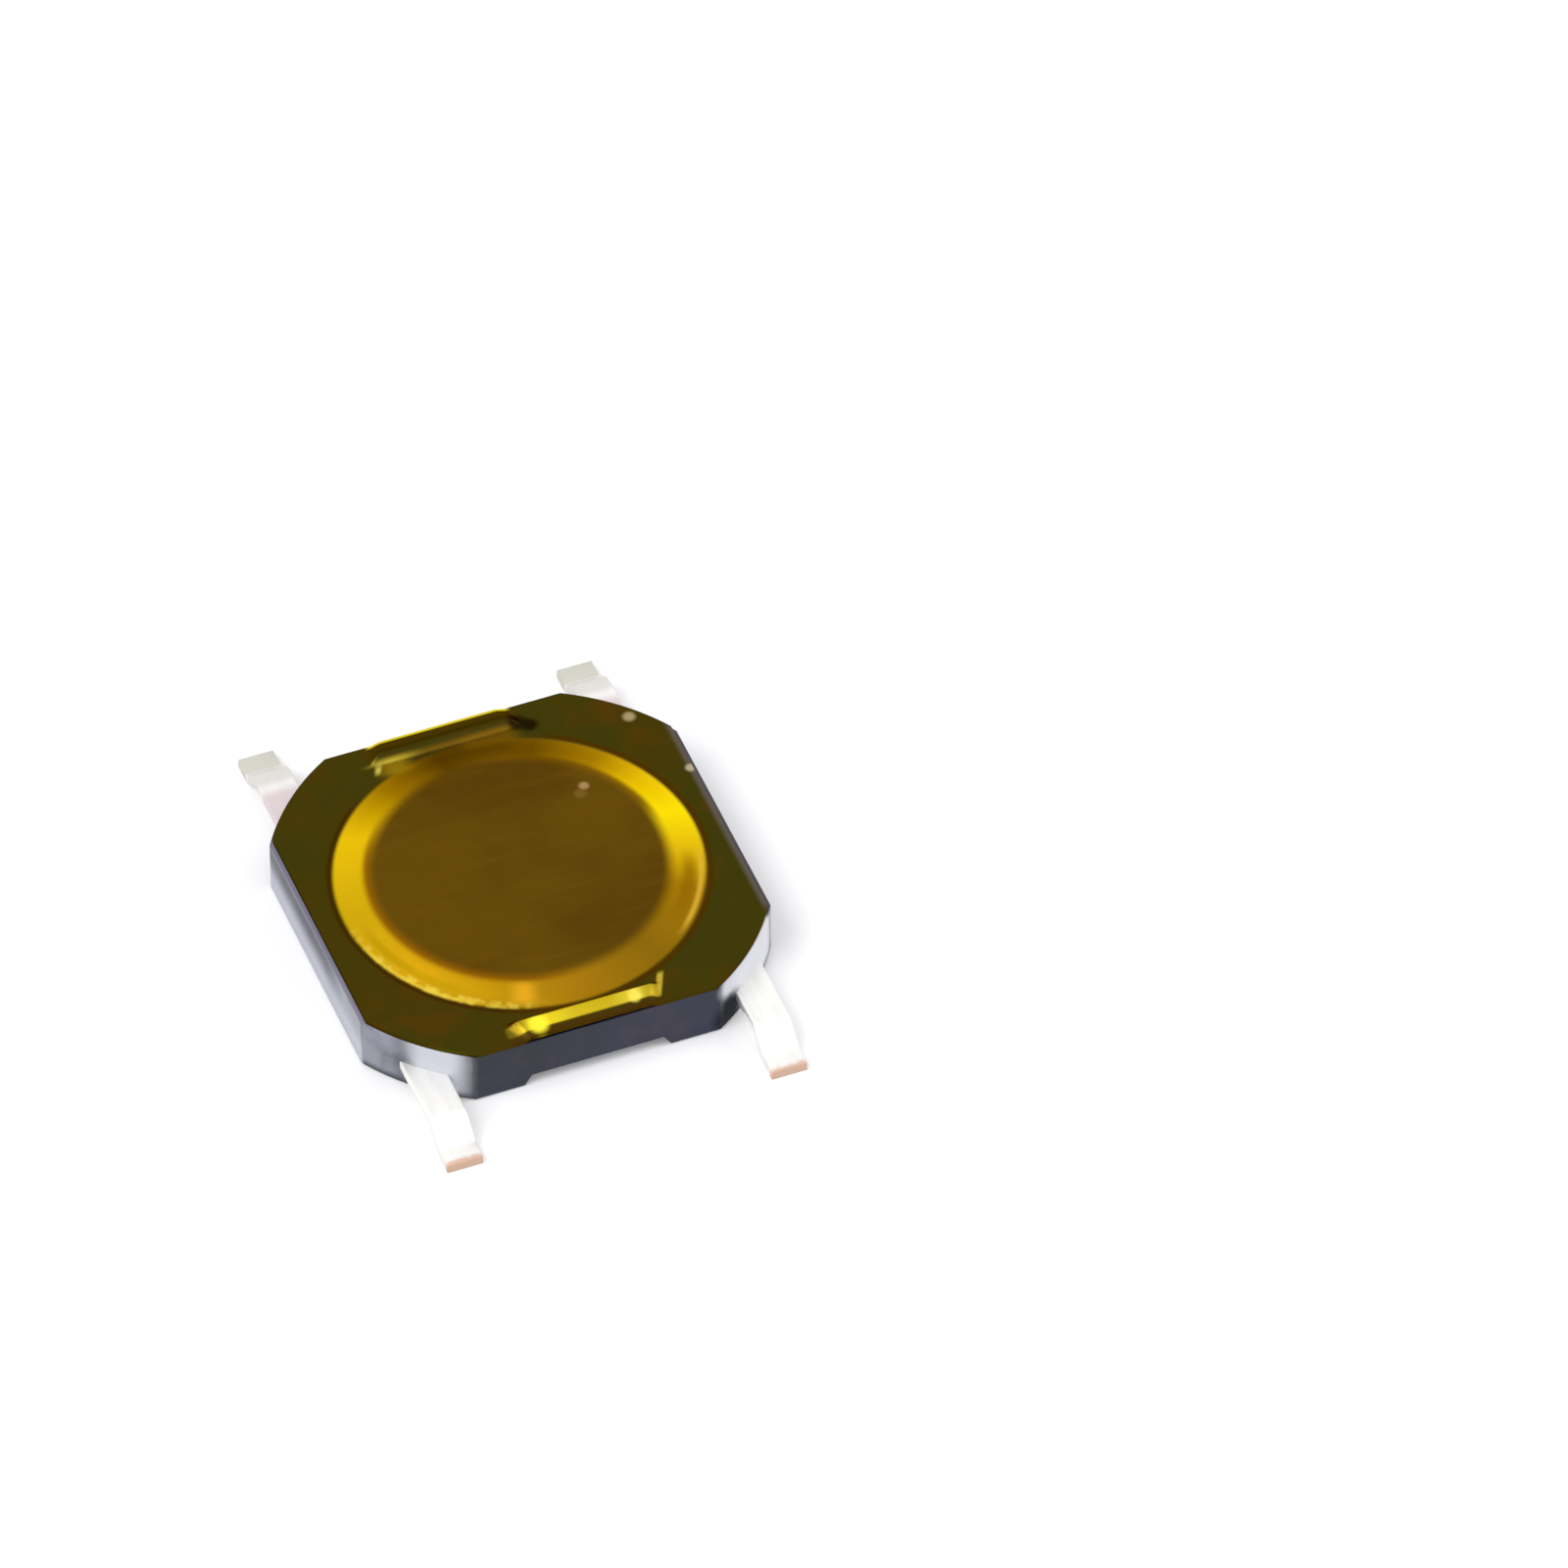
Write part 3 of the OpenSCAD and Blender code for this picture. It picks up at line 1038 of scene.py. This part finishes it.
    def _ring(self, paint: Painter, colour: Socket) -> Socket:
        """Lay the sloping ring, with its painted reflection, highlights and shade, and the disc inside it
        over the film's colour.

        Args:
            paint: Painter of the film's material.
            colour: Colour of what lies under it.

        Returns:
            The colour.
        """
        squares = [paint.math("MULTIPLY", way, way) for way in (paint.x, paint.y)]
        radius = paint.math("SQRT", paint.math("ADD", *squares))
        angle = paint.math("DEGREES", paint.math("ARCTAN2", paint.y, paint.x))
        turn = paint.math("MULTIPLY_ADD", angle, 1 / DEGREES_ROUND, 0.5)
        sloped = paint.fade_out(radius, *self.ring_fade)
        # Painted reflection round the ring, by angle.
        colour = paint.mix(sloped, colour, paint.ramp(turn, self.ring_reflection_sweep))
        # Painted highlights, dull bands and a painted shadow line.
        for mark in self.ring_highlights_and_shade:
            colour = paint.mark(colour, (radius, angle), mark)
        # Painted glints on the outer edge.
        glinting_edge = paint.mask((radius, angle), self.glinting_edge)
        glints = paint.math("MULTIPLY", glinting_edge, paint.patches(self.glint_speckles))
        colour = paint.mix(glints, colour, linear(self.glinting_edge.colour))
        return paint.mix(paint.fade_out(radius, *self.disc_fade), colour, self._crown(paint))

    def _channels(self, paint: Painter, colour: Socket) -> Socket:
        """Lay the painted highlights and shade of the two air channels, and the specks, over the film's
        colour.

        Args:
            paint: Painter of the film's material.
            colour: Colour of what lies under it.

        Returns:
            The colour.
        """
        ways = (paint.x, paint.y)
        low, high = self.lip_highlight_span
        run = paint.math("DIVIDE", paint.math("SUBTRACT", paint.x, low), high - low)
        # Painted shade and highlights of the channels.
        for mark in self.channel_highlights_and_shade:
            colour = paint.mark(colour, ways, mark)
        across_tab = paint.math("MULTIPLY_ADD", paint.y, self.tab_lean, paint.x)
        # Painted highlights on the tabs.
        for mark in self.tab_highlights:
            colour = paint.mark(colour, (across_tab, paint.y), mark)
        # Painted highlight along the front lip.
        colour = paint.mix(paint.mask(ways, self.lip_highlight), colour, paint.ramp(run, self.lip_highlight_run))
        from_above = paint.from_above()
        # Painted highlights, painted shade and specks of dirt.
        for spot in self.highlights_shade_and_specks:
            colour = paint.spot(colour, spot, from_above)
        return colour

    def material(self, effects: Effects) -> Material:
        """Build the material.

        Args:
            effects: Node groups that the finishes share.

        Returns:
            The material.
        """
        paint = Painter("amber_film", effects)
        colour = self._channels(paint, self._ring(paint, self._ground(paint)))
        paint.surface["Metallic"].default_value = self.metallic
        paint.surface["Specular Tint"].default_value = linear(self.edge_tint)
        paint.uneven(self.dimples)
        return paint.finish(colour, paint.between(paint.patches(self.smears), self.roughness))


# Sub-assemblies


@dataclass
class HousingMoulding:
    """Squat black moulding: a well for the dome above, two pads, a groove and a windowed block below."""

    half: float = 2.4
    corner_r: float = 2.794
    pad_z: float = 0.02
    face_z: float = 0.67
    well_r: float = 2.06
    well_floor_z: float = 0.38
    roof_half: float = 0.77
    foot_half: float = 0.85
    roof_z: float = 0.15
    block_half: Span = (0.8285, 1.36)
    block_z: float = 0.055
    window_half: Span = (0.55, 0.48)
    window_roof_z: float = 0.29
    mark_r: float = 0.1
    mark_x: float = 1.05
    mark_z: float = 0.19
    mark_depth: float = 0.06
    mark_margin: float = 0.025
    arris: float = 0.016
    sharp: float = 25.0
    outline_segments: int = 256
    well_segments: int = 128
    mark_segments: int = 24

    def _blank(self, bm: Mesh) -> None:
        """Solid with the housing's outline, from its pads to the face under the film.

        Args:
            bm: Empty mesh that takes the solid.
        """
        bmesh.ops.create_circle(
            bm, cap_ends=True, radius=self.corner_r, segments=self.outline_segments,
            matrix=Matrix.Translation((0, 0, self.pad_z)))
        for side in (ACROSS, -ACROSS, ALONG, -ALONG):
            cut(bm, whole(bm), side * self.half, side, trim=True)
        pull_out(bm, list(bm.faces), UP * (self.face_z - self.pad_z))
        bmesh.ops.recalc_face_normals(bm, faces=bm.faces)

    def _well(self, bm: Mesh) -> None:
        """Round well for the dome.

        Args:
            bm: Mesh of the housing.
        """
        top = max(bm.faces, key=lambda f: f.calc_center_median().z)
        place = Matrix.Translation((0, 0, self.face_z))
        rim = open_round_hole(bm, top, place, self.well_r, self.well_segments)
        close(bm, draw_out(bm, rim, UP * (self.well_floor_z - self.face_z)))

    def _under(self, bm: Mesh) -> list[Face]:
        """Faces of the underside that still lie at the height of the pads."""
        return on_plane(bm, UP, self.pad_z)

    def _groove(self, bm: Mesh) -> None:
        """Groove along the underside, with the block and its window.

        Args:
            bm: Mesh of the housing.
        """
        across = (self.foot_half, self.block_half[0], self.roof_half, self.window_half[0])
        along = (self.block_half[1], self.window_half[1])
        for axis, places in ((ACROSS, across), (ALONG, along)):
            for place in places:
                for sign in SIGNS:
                    cut(bm, around(self._under(bm)), axis * sign * place, axis)
        faces = self._under(bm)
        for vert in {v for f in faces for v in f.verts}:
            if abs(vert.co.x) < self.roof_half + NEAR:
                vert.co.z = self.roof_z
            elif abs(vert.co.x) < self.block_half[0] + NEAR:
                vert.co.z = self.block_z
        self._raise(bm, faces, self.block_half, self.block_z)
        self._raise(bm, on_plane(bm, UP, self.block_z), self.window_half, self.window_roof_z)
        bmesh.ops.remove_doubles(bm, verts=bm.verts, dist=NEAR)
        bmesh.ops.dissolve_degenerate(bm, edges=bm.edges, dist=NEAR)

    def _raise(self, bm: Mesh, faces: list[Face], half: Span, height: float) -> None:
        """Bring the faces within a rectangle to a height, with upright walls round it.

        Args:
            bm: Mesh that holds the faces.
            faces: Faces of the underside to choose from.
            half: Half of the rectangle's width and of its length.
            height: Height that the faces get.
        """
        inner = []
        for face in faces:
            middle = face.calc_center_median()
            if abs(middle.x) < half[0] and abs(middle.y) < half[1]:
                inner.append(face)
        moved = pull_out(bm, inner, Vector())
        for vert in {v for f in moved for v in f.verts}:
            vert.co.z = height

    def _marks(self, bm: Mesh) -> None:
        """Two round ejector marks on the rear wall.

        Args:
            bm: Mesh of the housing.
        """
        reach = self.mark_r + self.mark_margin
        for axis, place in ((ACROSS, -self.mark_x), (ACROSS, self.mark_x), (UP, self.mark_z)):
            for sign in SIGNS:
                wall = on_plane(bm, ALONG, self.half)
                cut(bm, around(wall), axis * (place + sign * reach), axis)
        for sign in SIGNS:
            centre = Vector((sign * self.mark_x, self.half, self.mark_z))
            cell = min(bm.faces, key=lambda f: (f.calc_center_median() - centre).length)
            place = Matrix.Translation(centre) @ Matrix.Rotation(-QUARTER_TURN, 4, "X")
            rim = open_round_hole(bm, cell, place, self.mark_r, self.mark_segments)
            close(bm, draw_out(bm, rim, ALONG * -self.mark_depth))

    def build(self) -> Piece:
        """Build the moulding.

        Returns:
            The piece.
        """
        bm = bmesh.new()
        self._blank(bm)
        self._well(bm)
        self._groove(bm)
        self._marks(bm)
        bmesh.ops.recalc_face_normals(bm, faces=bm.faces)
        round_arrises(bm, self.sharp, self.arris)
        piece = finished(bm, "housing_moulding")
        even_out_normals(piece)
        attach(piece, Body.BASE.value)
        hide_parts("housing")
        return piece

    def dress(self, piece: Piece, effects: Effects) -> None:
        """Give the moulding its finish."""
        piece.data.materials.append(MouldedPlastic().material(effects))


@dataclass
class ContactFrame:
    """Stamped contact sheet with two gull-wing leads on one side of the switch."""

    name: str
    node: str
    side: Side
    sheet_t: float = 0.12
    sheet_z: float = 0.22
    lead_w: float = 0.42
    lead_x: float = 1.89
    tip_y: float = 3.3
    foot_l: float = 0.22
    bend_angle: float = math.radians(40)
    bend_r: float = 0.08
    contact_z: float = 0.4
    arris: float = 0.012
    sharp: float = 50.0
    bend_steps: int = 8

    def _lead(self, bm: Mesh) -> None:
        """Rail with its lead that points to the rear.

        Args:
            bm: Empty mesh that takes the rail.
        """
        turn = self.bend_angle
        bends = 2 * self.bend_r + self.sheet_t
        drop = self.sheet_z - bends + bends * math.cos(turn)
        run = drop / math.tan(turn)
        foot_y = self.tip_y - self.foot_l
        first_y = foot_y - run - bends * math.sin(turn)
        middle = self.side.value * self.lead_x
        centre = Matrix.Translation((middle, 0, self.sheet_z + self.sheet_t / 2))
        upright = Matrix.Rotation(-QUARTER_TURN, 4, "X")
        size = Matrix.Diagonal((self.lead_w, self.sheet_t, 1.0, 1.0))
        bmesh.ops.create_grid(bm, x_segments=1, y_segments=1, size=0.5, matrix=centre @ upright @ size)
        faces = pull_out(bm, list(bm.faces), ALONG * first_y)
        faces = self._bend(bm, faces, Vector((middle, first_y, self.sheet_z - self.bend_r)), -turn)
        faces = pull_out(bm, faces, Vector((0, run, -drop)))
        faces = self._bend(bm, faces, Vector((middle, foot_y, self.sheet_t + self.bend_r)), turn)
        pull_out(bm, faces, ALONG * self.foot_l)
        bmesh.ops.delete(bm, geom=on_plane(bm, ALONG, 0.0), context="FACES_ONLY")
        bmesh.ops.mirror(bm, geom=whole(bm), matrix=Matrix.Identity(4), merge_dist=NEAR, axis="Y")

    def _bend(self, bm: Mesh, faces: list[Face], centre: Vector, turn: float) -> list[Face]:
        """Carry a cross section round a bend.

        Args:
            bm: Mesh that holds the section.
            faces: The section.
            centre: Centre of the bend.
            turn: Angle of the bend about X.

        Returns:
            The section at the end of the bend.
        """
        made = bmesh.ops.spin(
            bm, geom=around(faces), cent=centre, axis=(1, 0, 0), dvec=(0, 0, 0), angle=turn,
            steps=self.bend_steps, use_merge=False)
        return [g for g in made["geom_last"] if isinstance(g, Face)]

    def _inner(self, bm: Mesh) -> None:
        """Part of the sheet that lies inside the housing."""

    def build(self) -> Piece:
        """Build the frame.

        Returns:
            The piece.
        """
        bm = bmesh.new()
        self._lead(bm)
        self._inner(bm)
        bmesh.ops.recalc_face_normals(bm, faces=bm.faces)
        round_arrises(bm, self.sharp, self.arris)
        piece = finished(bm, self.name)
        even_out_normals(piece)
        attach(piece, Body.BASE.value)
        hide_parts(self.node)
        return piece

    def dress(self, piece: Piece, finish: Material) -> None:
        """Give the frame its finish."""
        piece.data.materials.append(finish)


@dataclass
class OuterContactFrame(ContactFrame):
    """Contact frame whose ring carries the rim of the dome."""

    name: str = "outer_contact_stamping"
    node: str = "outer_contact_frame"
    side: Side = Side.LEFT
    ring_r: float = 2.02
    ring_w: float = 0.3
    open_angle: float = math.radians(50)
    ring_steps: int = 80

    def _inner(self, bm: Mesh) -> None:
        """Ring contact, open towards the other frame's rail.

        Args:
            bm: Mesh that holds the rail.
        """
        low = self.contact_z - self.sheet_t
        corners = [
            (self.ring_r - self.ring_w, low), (self.ring_r, low),
            (self.ring_r, self.contact_z), (self.ring_r - self.ring_w, self.contact_z)]
        section = bm.faces.new([bm.verts.new((radius, 0.0, z)) for radius, z in corners])
        bmesh.ops.rotate(
            bm, verts=section.verts, cent=(0, 0, 0), matrix=Matrix.Rotation(self.open_angle, 3, "Z"))
        bmesh.ops.spin(
            bm, geom=around([section]), cent=(0, 0, 0), axis=UP, dvec=(0, 0, 0),
            angle=FULL_TURN - 2 * self.open_angle, steps=self.ring_steps, use_merge=False)


@dataclass
class CentreContactFrame(ContactFrame):
    """Contact frame whose plate carries the boss and the point under the middle of the dome."""

    name: str = "centre_contact_stamping"
    node: str = "centre_contact_frame"
    side: Side = Side.RIGHT
    plate: Span = (1.3, 1.16)
    boss_r: float = 0.4
    boss_hollow_r: float = 0.34
    boss_hollow_z: float = 0.28
    point_r: float = 0.1
    point_h: float = 0.02
    point_taper: float = 0.8
    neck_w: float = 0.5
    segments: int = 48

    def _inner(self, bm: Mesh) -> None:
        """Plate with its pressed boss and contact point, and the neck to the rail.

        Args:
            bm: Mesh that holds the rail.
        """
        top_z = self.sheet_z + self.sheet_t
        size = Matrix.Diagonal((self.plate[0], self.plate[1], self.sheet_t, 1.0))
        lift = Matrix.Translation((0, 0, self.sheet_z + self.sheet_t / 2))
        made = bmesh.ops.create_cube(bm, size=1.0, matrix=lift @ size)
        faces = list({f for v in made["verts"] for f in v.link_faces})
        top = max(faces, key=lambda f: f.calc_center_median().z)
        bottom = min(faces, key=lambda f: f.calc_center_median().z)
        rim = open_round_hole(bm, top, Matrix.Translation((0, 0, top_z)), self.boss_r, self.segments)
        shoulder = draw_out(bm, rim, UP * (self.contact_z - top_z))
        point = draw_out(bm, shoulder, Vector(), shrink=self.point_r / self.boss_r)
        close(bm, draw_out(bm, point, UP * self.point_h, shrink=self.point_taper))
        rim = open_round_hole(
            bm, bottom, Matrix.Translation((0, 0, self.sheet_z)), self.boss_hollow_r, self.segments)
        close(bm, draw_out(bm, rim, UP * (self.boss_hollow_z - self.sheet_z)))
        side_x = self.plate[0] / 2
        for sign in SIGNS:
            cut(bm, around(on_plane(bm, ACROSS, side_x)), ALONG * sign * self.neck_w / 2, ALONG)
        neck = min(on_plane(bm, ACROSS, side_x), key=lambda f: abs(f.calc_center_median().y))
        pull_out(bm, [neck], ACROSS * (self.lead_x - side_x))


@dataclass
class SnapDome:
    """Round spring-steel disc that snaps down under the finger."""

    radius: float = 2.0
    rim_z: float = 0.405
    top_z: float = 0.745
    thickness: float = 0.06
    flatness: float = 6.0
    rings: int = 32
    steps: int = 128

    def _height(self, radius: float) -> float:
        """Height of the dome's upper face at a radius."""
        rise = self.top_z - self.rim_z - self.thickness
        return self.rim_z + self.thickness + rise * (1 - (radius / self.radius) ** self.flatness)

    def build(self) -> Piece:
        """Build the dome as one skin that is given its thickness.

        Returns:
            The piece.
        """
        bm = bmesh.new()
        radii = [self.radius * i / self.rings for i in range(self.rings + 1)]
        revolve(bm, [(r, self._height(r)) for r in radii], self.steps)
        for edge in bm.edges:
            edge.smooth = not edge.is_boundary
        piece = finished(bm, "snap_dome_disc")
        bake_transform(piece)
        thicken(piece, self.thickness)
        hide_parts("snap_dome")
        return piece

    def dress(self, piece: Piece, effects: Effects) -> None:
        """Give the dome its finish."""
        piece.data.materials.append(SpringSteel().material(effects))


@dataclass
class CoverFilm:
    """Film stuck on the housing's rim: a pressed plateau over the dome and two air channels."""

    half: Span = (2.35, 2.4)
    corner_r: float = 2.774
    rim_z: float = 0.72
    thickness: float = 0.05
    plateau_h: float = 0.08
    plateau_r: float = 1.65
    slope_r: float = 2.06
    channel_x: Span = (-0.99, 0.85)
    channel_lean: float = 0.45
    channel_draft: float = 0.16
    channel_h: float = 0.08
    channel_edge_h: float = 0.035
    foot_y: float = 2.085
    crest_y: float = 2.165
    step_cuts: int = 4
    crease_cuts: int = 8
    wave: float = 0.003
    wave_scale: float = 1.7
    wave_layer: float = 0.3
    disc_rings: int = 14
    slope_rings: int = 20
    rim_rings: int = 18
    steps: int = 224

    def _round_height(self, radius: float) -> float:
        """Height of the round form above the film's rim at a radius."""
        return self.plateau_h * (1 - soft_step((radius - self.plateau_r) / (self.slope_r - self.plateau_r)))

    def _radii(self) -> list[float]:
        """Radii of the rings, close together where the film slopes.

        Returns:
            The radii, from the middle outwards.
        """
        spans = (
            (0.0, self.plateau_r, self.disc_rings),
            (self.plateau_r, self.slope_r, self.slope_rings),
            (self.slope_r, self.corner_r, self.rim_rings),
        )
        radii = [low + (high - low) * i / count for low, high, count in spans for i in range(count)]
        return [*radii, self.corner_r]

    def _channel_height(self, place: Vector) -> float:
        """Height of an air channel above the film's rim at a place, or 0 beside it.

        Args:
            place: Place on the film.

        Returns:
            The height.
        """
        low, high = self.channel_x
        spread = self.channel_lean * (self.crest_y - abs(place.y))
        side = soft_step((min(place.x - low, high - place.x) + spread) / self.channel_draft)
        rise = soft_step((abs(place.y) - self.foot_y) / (self.crest_y - self.foot_y))
        fall = soft_step((abs(place.y) - self.crest_y) / (self.half[1] - self.crest_y))
        return side * rise * (self.channel_h - (self.channel_h - self.channel_edge_h) * fall)

    def _trim(self, bm: Mesh) -> None:
        """Trim the film to its outline and crease it along the channels.

        Args:
            bm: Mesh of the film.
        """
        for axis, place in zip((ACROSS, ALONG), self.half):
            for sign in SIGNS:
                cut(bm, whole(bm), axis * sign * place, axis * sign, trim=True)
        for sign in SIGNS:
            for i in range(self.step_cuts + 1):
                place = self.foot_y + (self.crest_y - self.foot_y) * i / self.step_cuts
                cut(bm, self._outside(bm, sign), ALONG * sign * place, ALONG)
            for i in range(self.crease_cuts + 1):
                inward = self.channel_draft * i / self.crease_cuts
                for x, lean in ((self.channel_x[0] + inward, -1), (self.channel_x[1] - inward, 1)):
                    facing = Vector((1, sign * lean * self.channel_lean, 0))
                    cut(bm, self._outside(bm, sign), Vector((x, sign * self.crest_y, 0)), facing)
        bmesh.ops.dissolve_degenerate(bm, dist=NEAR, edges=bm.edges)

    def _outside(self, bm: Mesh, sign: int) -> list:
        """Geometry of the film on the side of a channel, from the plateau outwards."""
        return around([f for f in bm.faces if sign * f.calc_center_median().y > self.plateau_r])

    def build(self) -> Piece:
        """Build the film as one skin, lift its channels and give it its thickness.

        Returns:
            The piece.
        """
        bm = bmesh.new()
        revolve(bm, [(r, self.rim_z + self._round_height(r)) for r in self._radii()], self.steps)
        self._trim(bm)
        group = bm.verts.layers.deform.verify()
        for vert in bm.verts:
            radius = vert.co.xy.length
            above = self._channel_height(vert.co) - self._round_height(radius)
            if above > 0 and abs(vert.co.y) > self.plateau_r:
                vert[group][0] = above / self.channel_h
            if radius > self.slope_r:
                wave = noise.noise(Vector((*(vert.co.xy * self.wave_scale), self.wave_layer)))
                vert.co.z += self.wave * abs(wave)
        for edge in bm.edges:
            edge.smooth = not edge.is_boundary
        piece = finished(bm, "cover_film_sheet")
        piece.vertex_groups.new(name=CHANNEL)
        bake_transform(piece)
        lift = piece.modifiers.new("channel_lift", "DISPLACE")
        lift.direction = "Z"
        lift.mid_level = 0.0
        lift.strength = self.channel_h * MM
        lift.vertex_group = CHANNEL
        thicken(piece, self.thickness)
        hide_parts("cover_film")
        return piece

    def dress(self, piece: Piece, effects: Effects) -> None:
        """Give the film its finish."""
        piece.data.materials.append(AmberFilm().material(effects))


# Stage


@dataclass
class StudioLamp:
    """Soft square lamp that points at the switch."""

    name: str
    azimuth: float
    elevation: float
    distance: float
    size: float
    power: float

    def build(self) -> None:
        """Put the lamp in the scene."""
        data = bpy.data.lights.new(self.name, "AREA")
        data.shape = "SQUARE"
        data.size = self.size
        data.energy = self.power
        lamp = put_in_scene(self.name, data)
        away = direction(self.azimuth, self.elevation)
        lamp.location = away * self.distance
        lamp.rotation_mode = "QUATERNION"
        lamp.rotation_quaternion = (-away).to_track_quat("-Z", "Y")


@dataclass
class Studio:
    """Pale floor, white surroundings and soft lamps."""

    floor_size: float = 0.6
    floor_colour: Rgb = (238, 238, 240)
    floor_glow: float = 0.1
    world_level: float = 0.8
    lamps: list[StudioLamp] = field(default_factory=lambda: [
        StudioLamp("lamp_left", azimuth=-75.0, elevation=50.0, distance=0.12, size=0.08, power=0.08),
        StudioLamp("lamp_right", azimuth=70.0, elevation=32.0, distance=0.12, size=0.06, power=0.035),
    ])

    def _surroundings(self) -> None:
        """White all round for the camera, at a plain level for the light."""
        world = bpy.data.worlds.new("studio")
        bpy.context.scene.world = world
        world.use_nodes = True
        shader = Shader(world.node_tree)
        background = world.node_tree.nodes["Background"]
        background.inputs["Color"].default_value = (1.0, 1.0, 1.0, 1.0)
        path = shader.add("ShaderNodeLightPath").outputs
        seen = path["Is Camera Ray"]
        for kind in ("Is Glossy Ray", "Is Transmission Ray"):
            seen = shader.math("MAXIMUM", seen, path[kind])
        shader.feed(background.inputs["Strength"], shader.between(seen, (self.world_level, 1.0)))

    def _floor(self) -> None:
        """Floor that only the camera sees, from above, and that keeps the shadow."""
        bm = bmesh.new()
        bmesh.ops.create_grid(bm, x_segments=1, y_segments=1, size=self.floor_size / 2 / MM)
        piece = finished(bm, "floor")
        material = bpy.data.materials.new("pale_floor")
        material.use_nodes = True
        tree = material.node_tree
        tree.nodes.remove(tree.nodes["Principled BSDF"])
        shader = Shader(tree)
        matt = shader.add("ShaderNodeBsdfDiffuse")
        matt.inputs["Color"].default_value = linear(self.floor_colour)
        glow = shader.add("ShaderNodeEmission")
        glow.inputs["Strength"].default_value = self.floor_glow
        lit = shader.add("ShaderNodeAddShader")
        shader.feed(lit.inputs[0], matt.outputs[0])
        shader.feed(lit.inputs[1], glow.outputs[0])
        clear = shader.add("ShaderNodeBsdfTransparent")
        front = shader.math("SUBTRACT", 1.0, shader.add("ShaderNodeNewGeometry").outputs["Backfacing"])
        seen = shader.math("MULTIPLY", shader.add("ShaderNodeLightPath").outputs["Is Camera Ray"], front)
        choice = shader.add("ShaderNodeMixShader")
        shader.feed(choice.inputs[0], seen)
        shader.feed(choice.inputs[1], clear.outputs[0])
        shader.feed(choice.inputs[2], lit.outputs[0])
        shader.feed(tree.nodes["Material Output"].inputs["Surface"], choice.outputs[0])
        piece.data.materials.append(material)
        piece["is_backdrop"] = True

    def build(self) -> None:
        """Build the stage."""
        self._surroundings()
        self._floor()
        for lamp in self.lamps:
            lamp.build()
        bpy.context.scene.view_settings.view_transform = "Standard"


@dataclass
class PhotoCamera:
    """Camera at the photo's viewing angle, with a long lens."""

    azimuth: float = -21.118
    elevation: float = 46.047
    roll: float = -0.31
    pixels_per_mm: float = 92.743
    origin_px: Span = (531.1, 936.0)
    frame_px: float = 1600.0
    distance: float = 0.2
    sensor: float = 36.0
    clip: Span = (0.01, 2.0)

    def build(self) -> None:
        """Put the camera in the scene, so that the switch lies where the photo has it."""
        back = direction(self.azimuth, self.elevation)
        level = UP.cross(back).normalized()
        plumb = back.cross(level)
        roll = math.radians(self.roll)
        right = level * math.cos(roll) + plumb * math.sin(roll)
        up = plumb * math.cos(roll) - level * math.sin(roll)
        data = bpy.data.cameras.new("photo_camera")
        data.sensor_width = self.sensor
        data.lens = self.pixels_per_mm / MM * self.distance * self.sensor / self.frame_px
        data.clip_start, data.clip_end = self.clip
        camera = put_in_scene("photo_camera", data)
        middle = self.frame_px / 2
        across = (middle - self.origin_px[0]) / self.pixels_per_mm * MM
        upward = (self.origin_px[1] - middle) / self.pixels_per_mm * MM
        camera.location = back * self.distance + right * across + up * upward
        camera.rotation_mode = "QUATERNION"
        camera.rotation_quaternion = Matrix((right, up, back)).transposed().to_quaternion()
        bpy.context.scene.camera = camera


def main() -> None:
    """Build the switch round its frame, dress it and set the stage."""
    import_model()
    PhotoCamera().build()
    Studio().build()
    effects = Effects()
    plated = PlatedSheet().material(effects)
    housing = HousingMoulding()
    housing.dress(housing.build(), effects)
    for frame in (OuterContactFrame(), CentreContactFrame()):
        frame.dress(frame.build(), plated)
    for part in (SnapDome(), CoverFilm()):
        part.dress(part.build(), effects)
    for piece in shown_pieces():
        log.info("%s: %d faces", piece.name, len(piece.data.polygons))


if __name__ == "__main__":
    logging.basicConfig(level=logging.INFO)
    main()
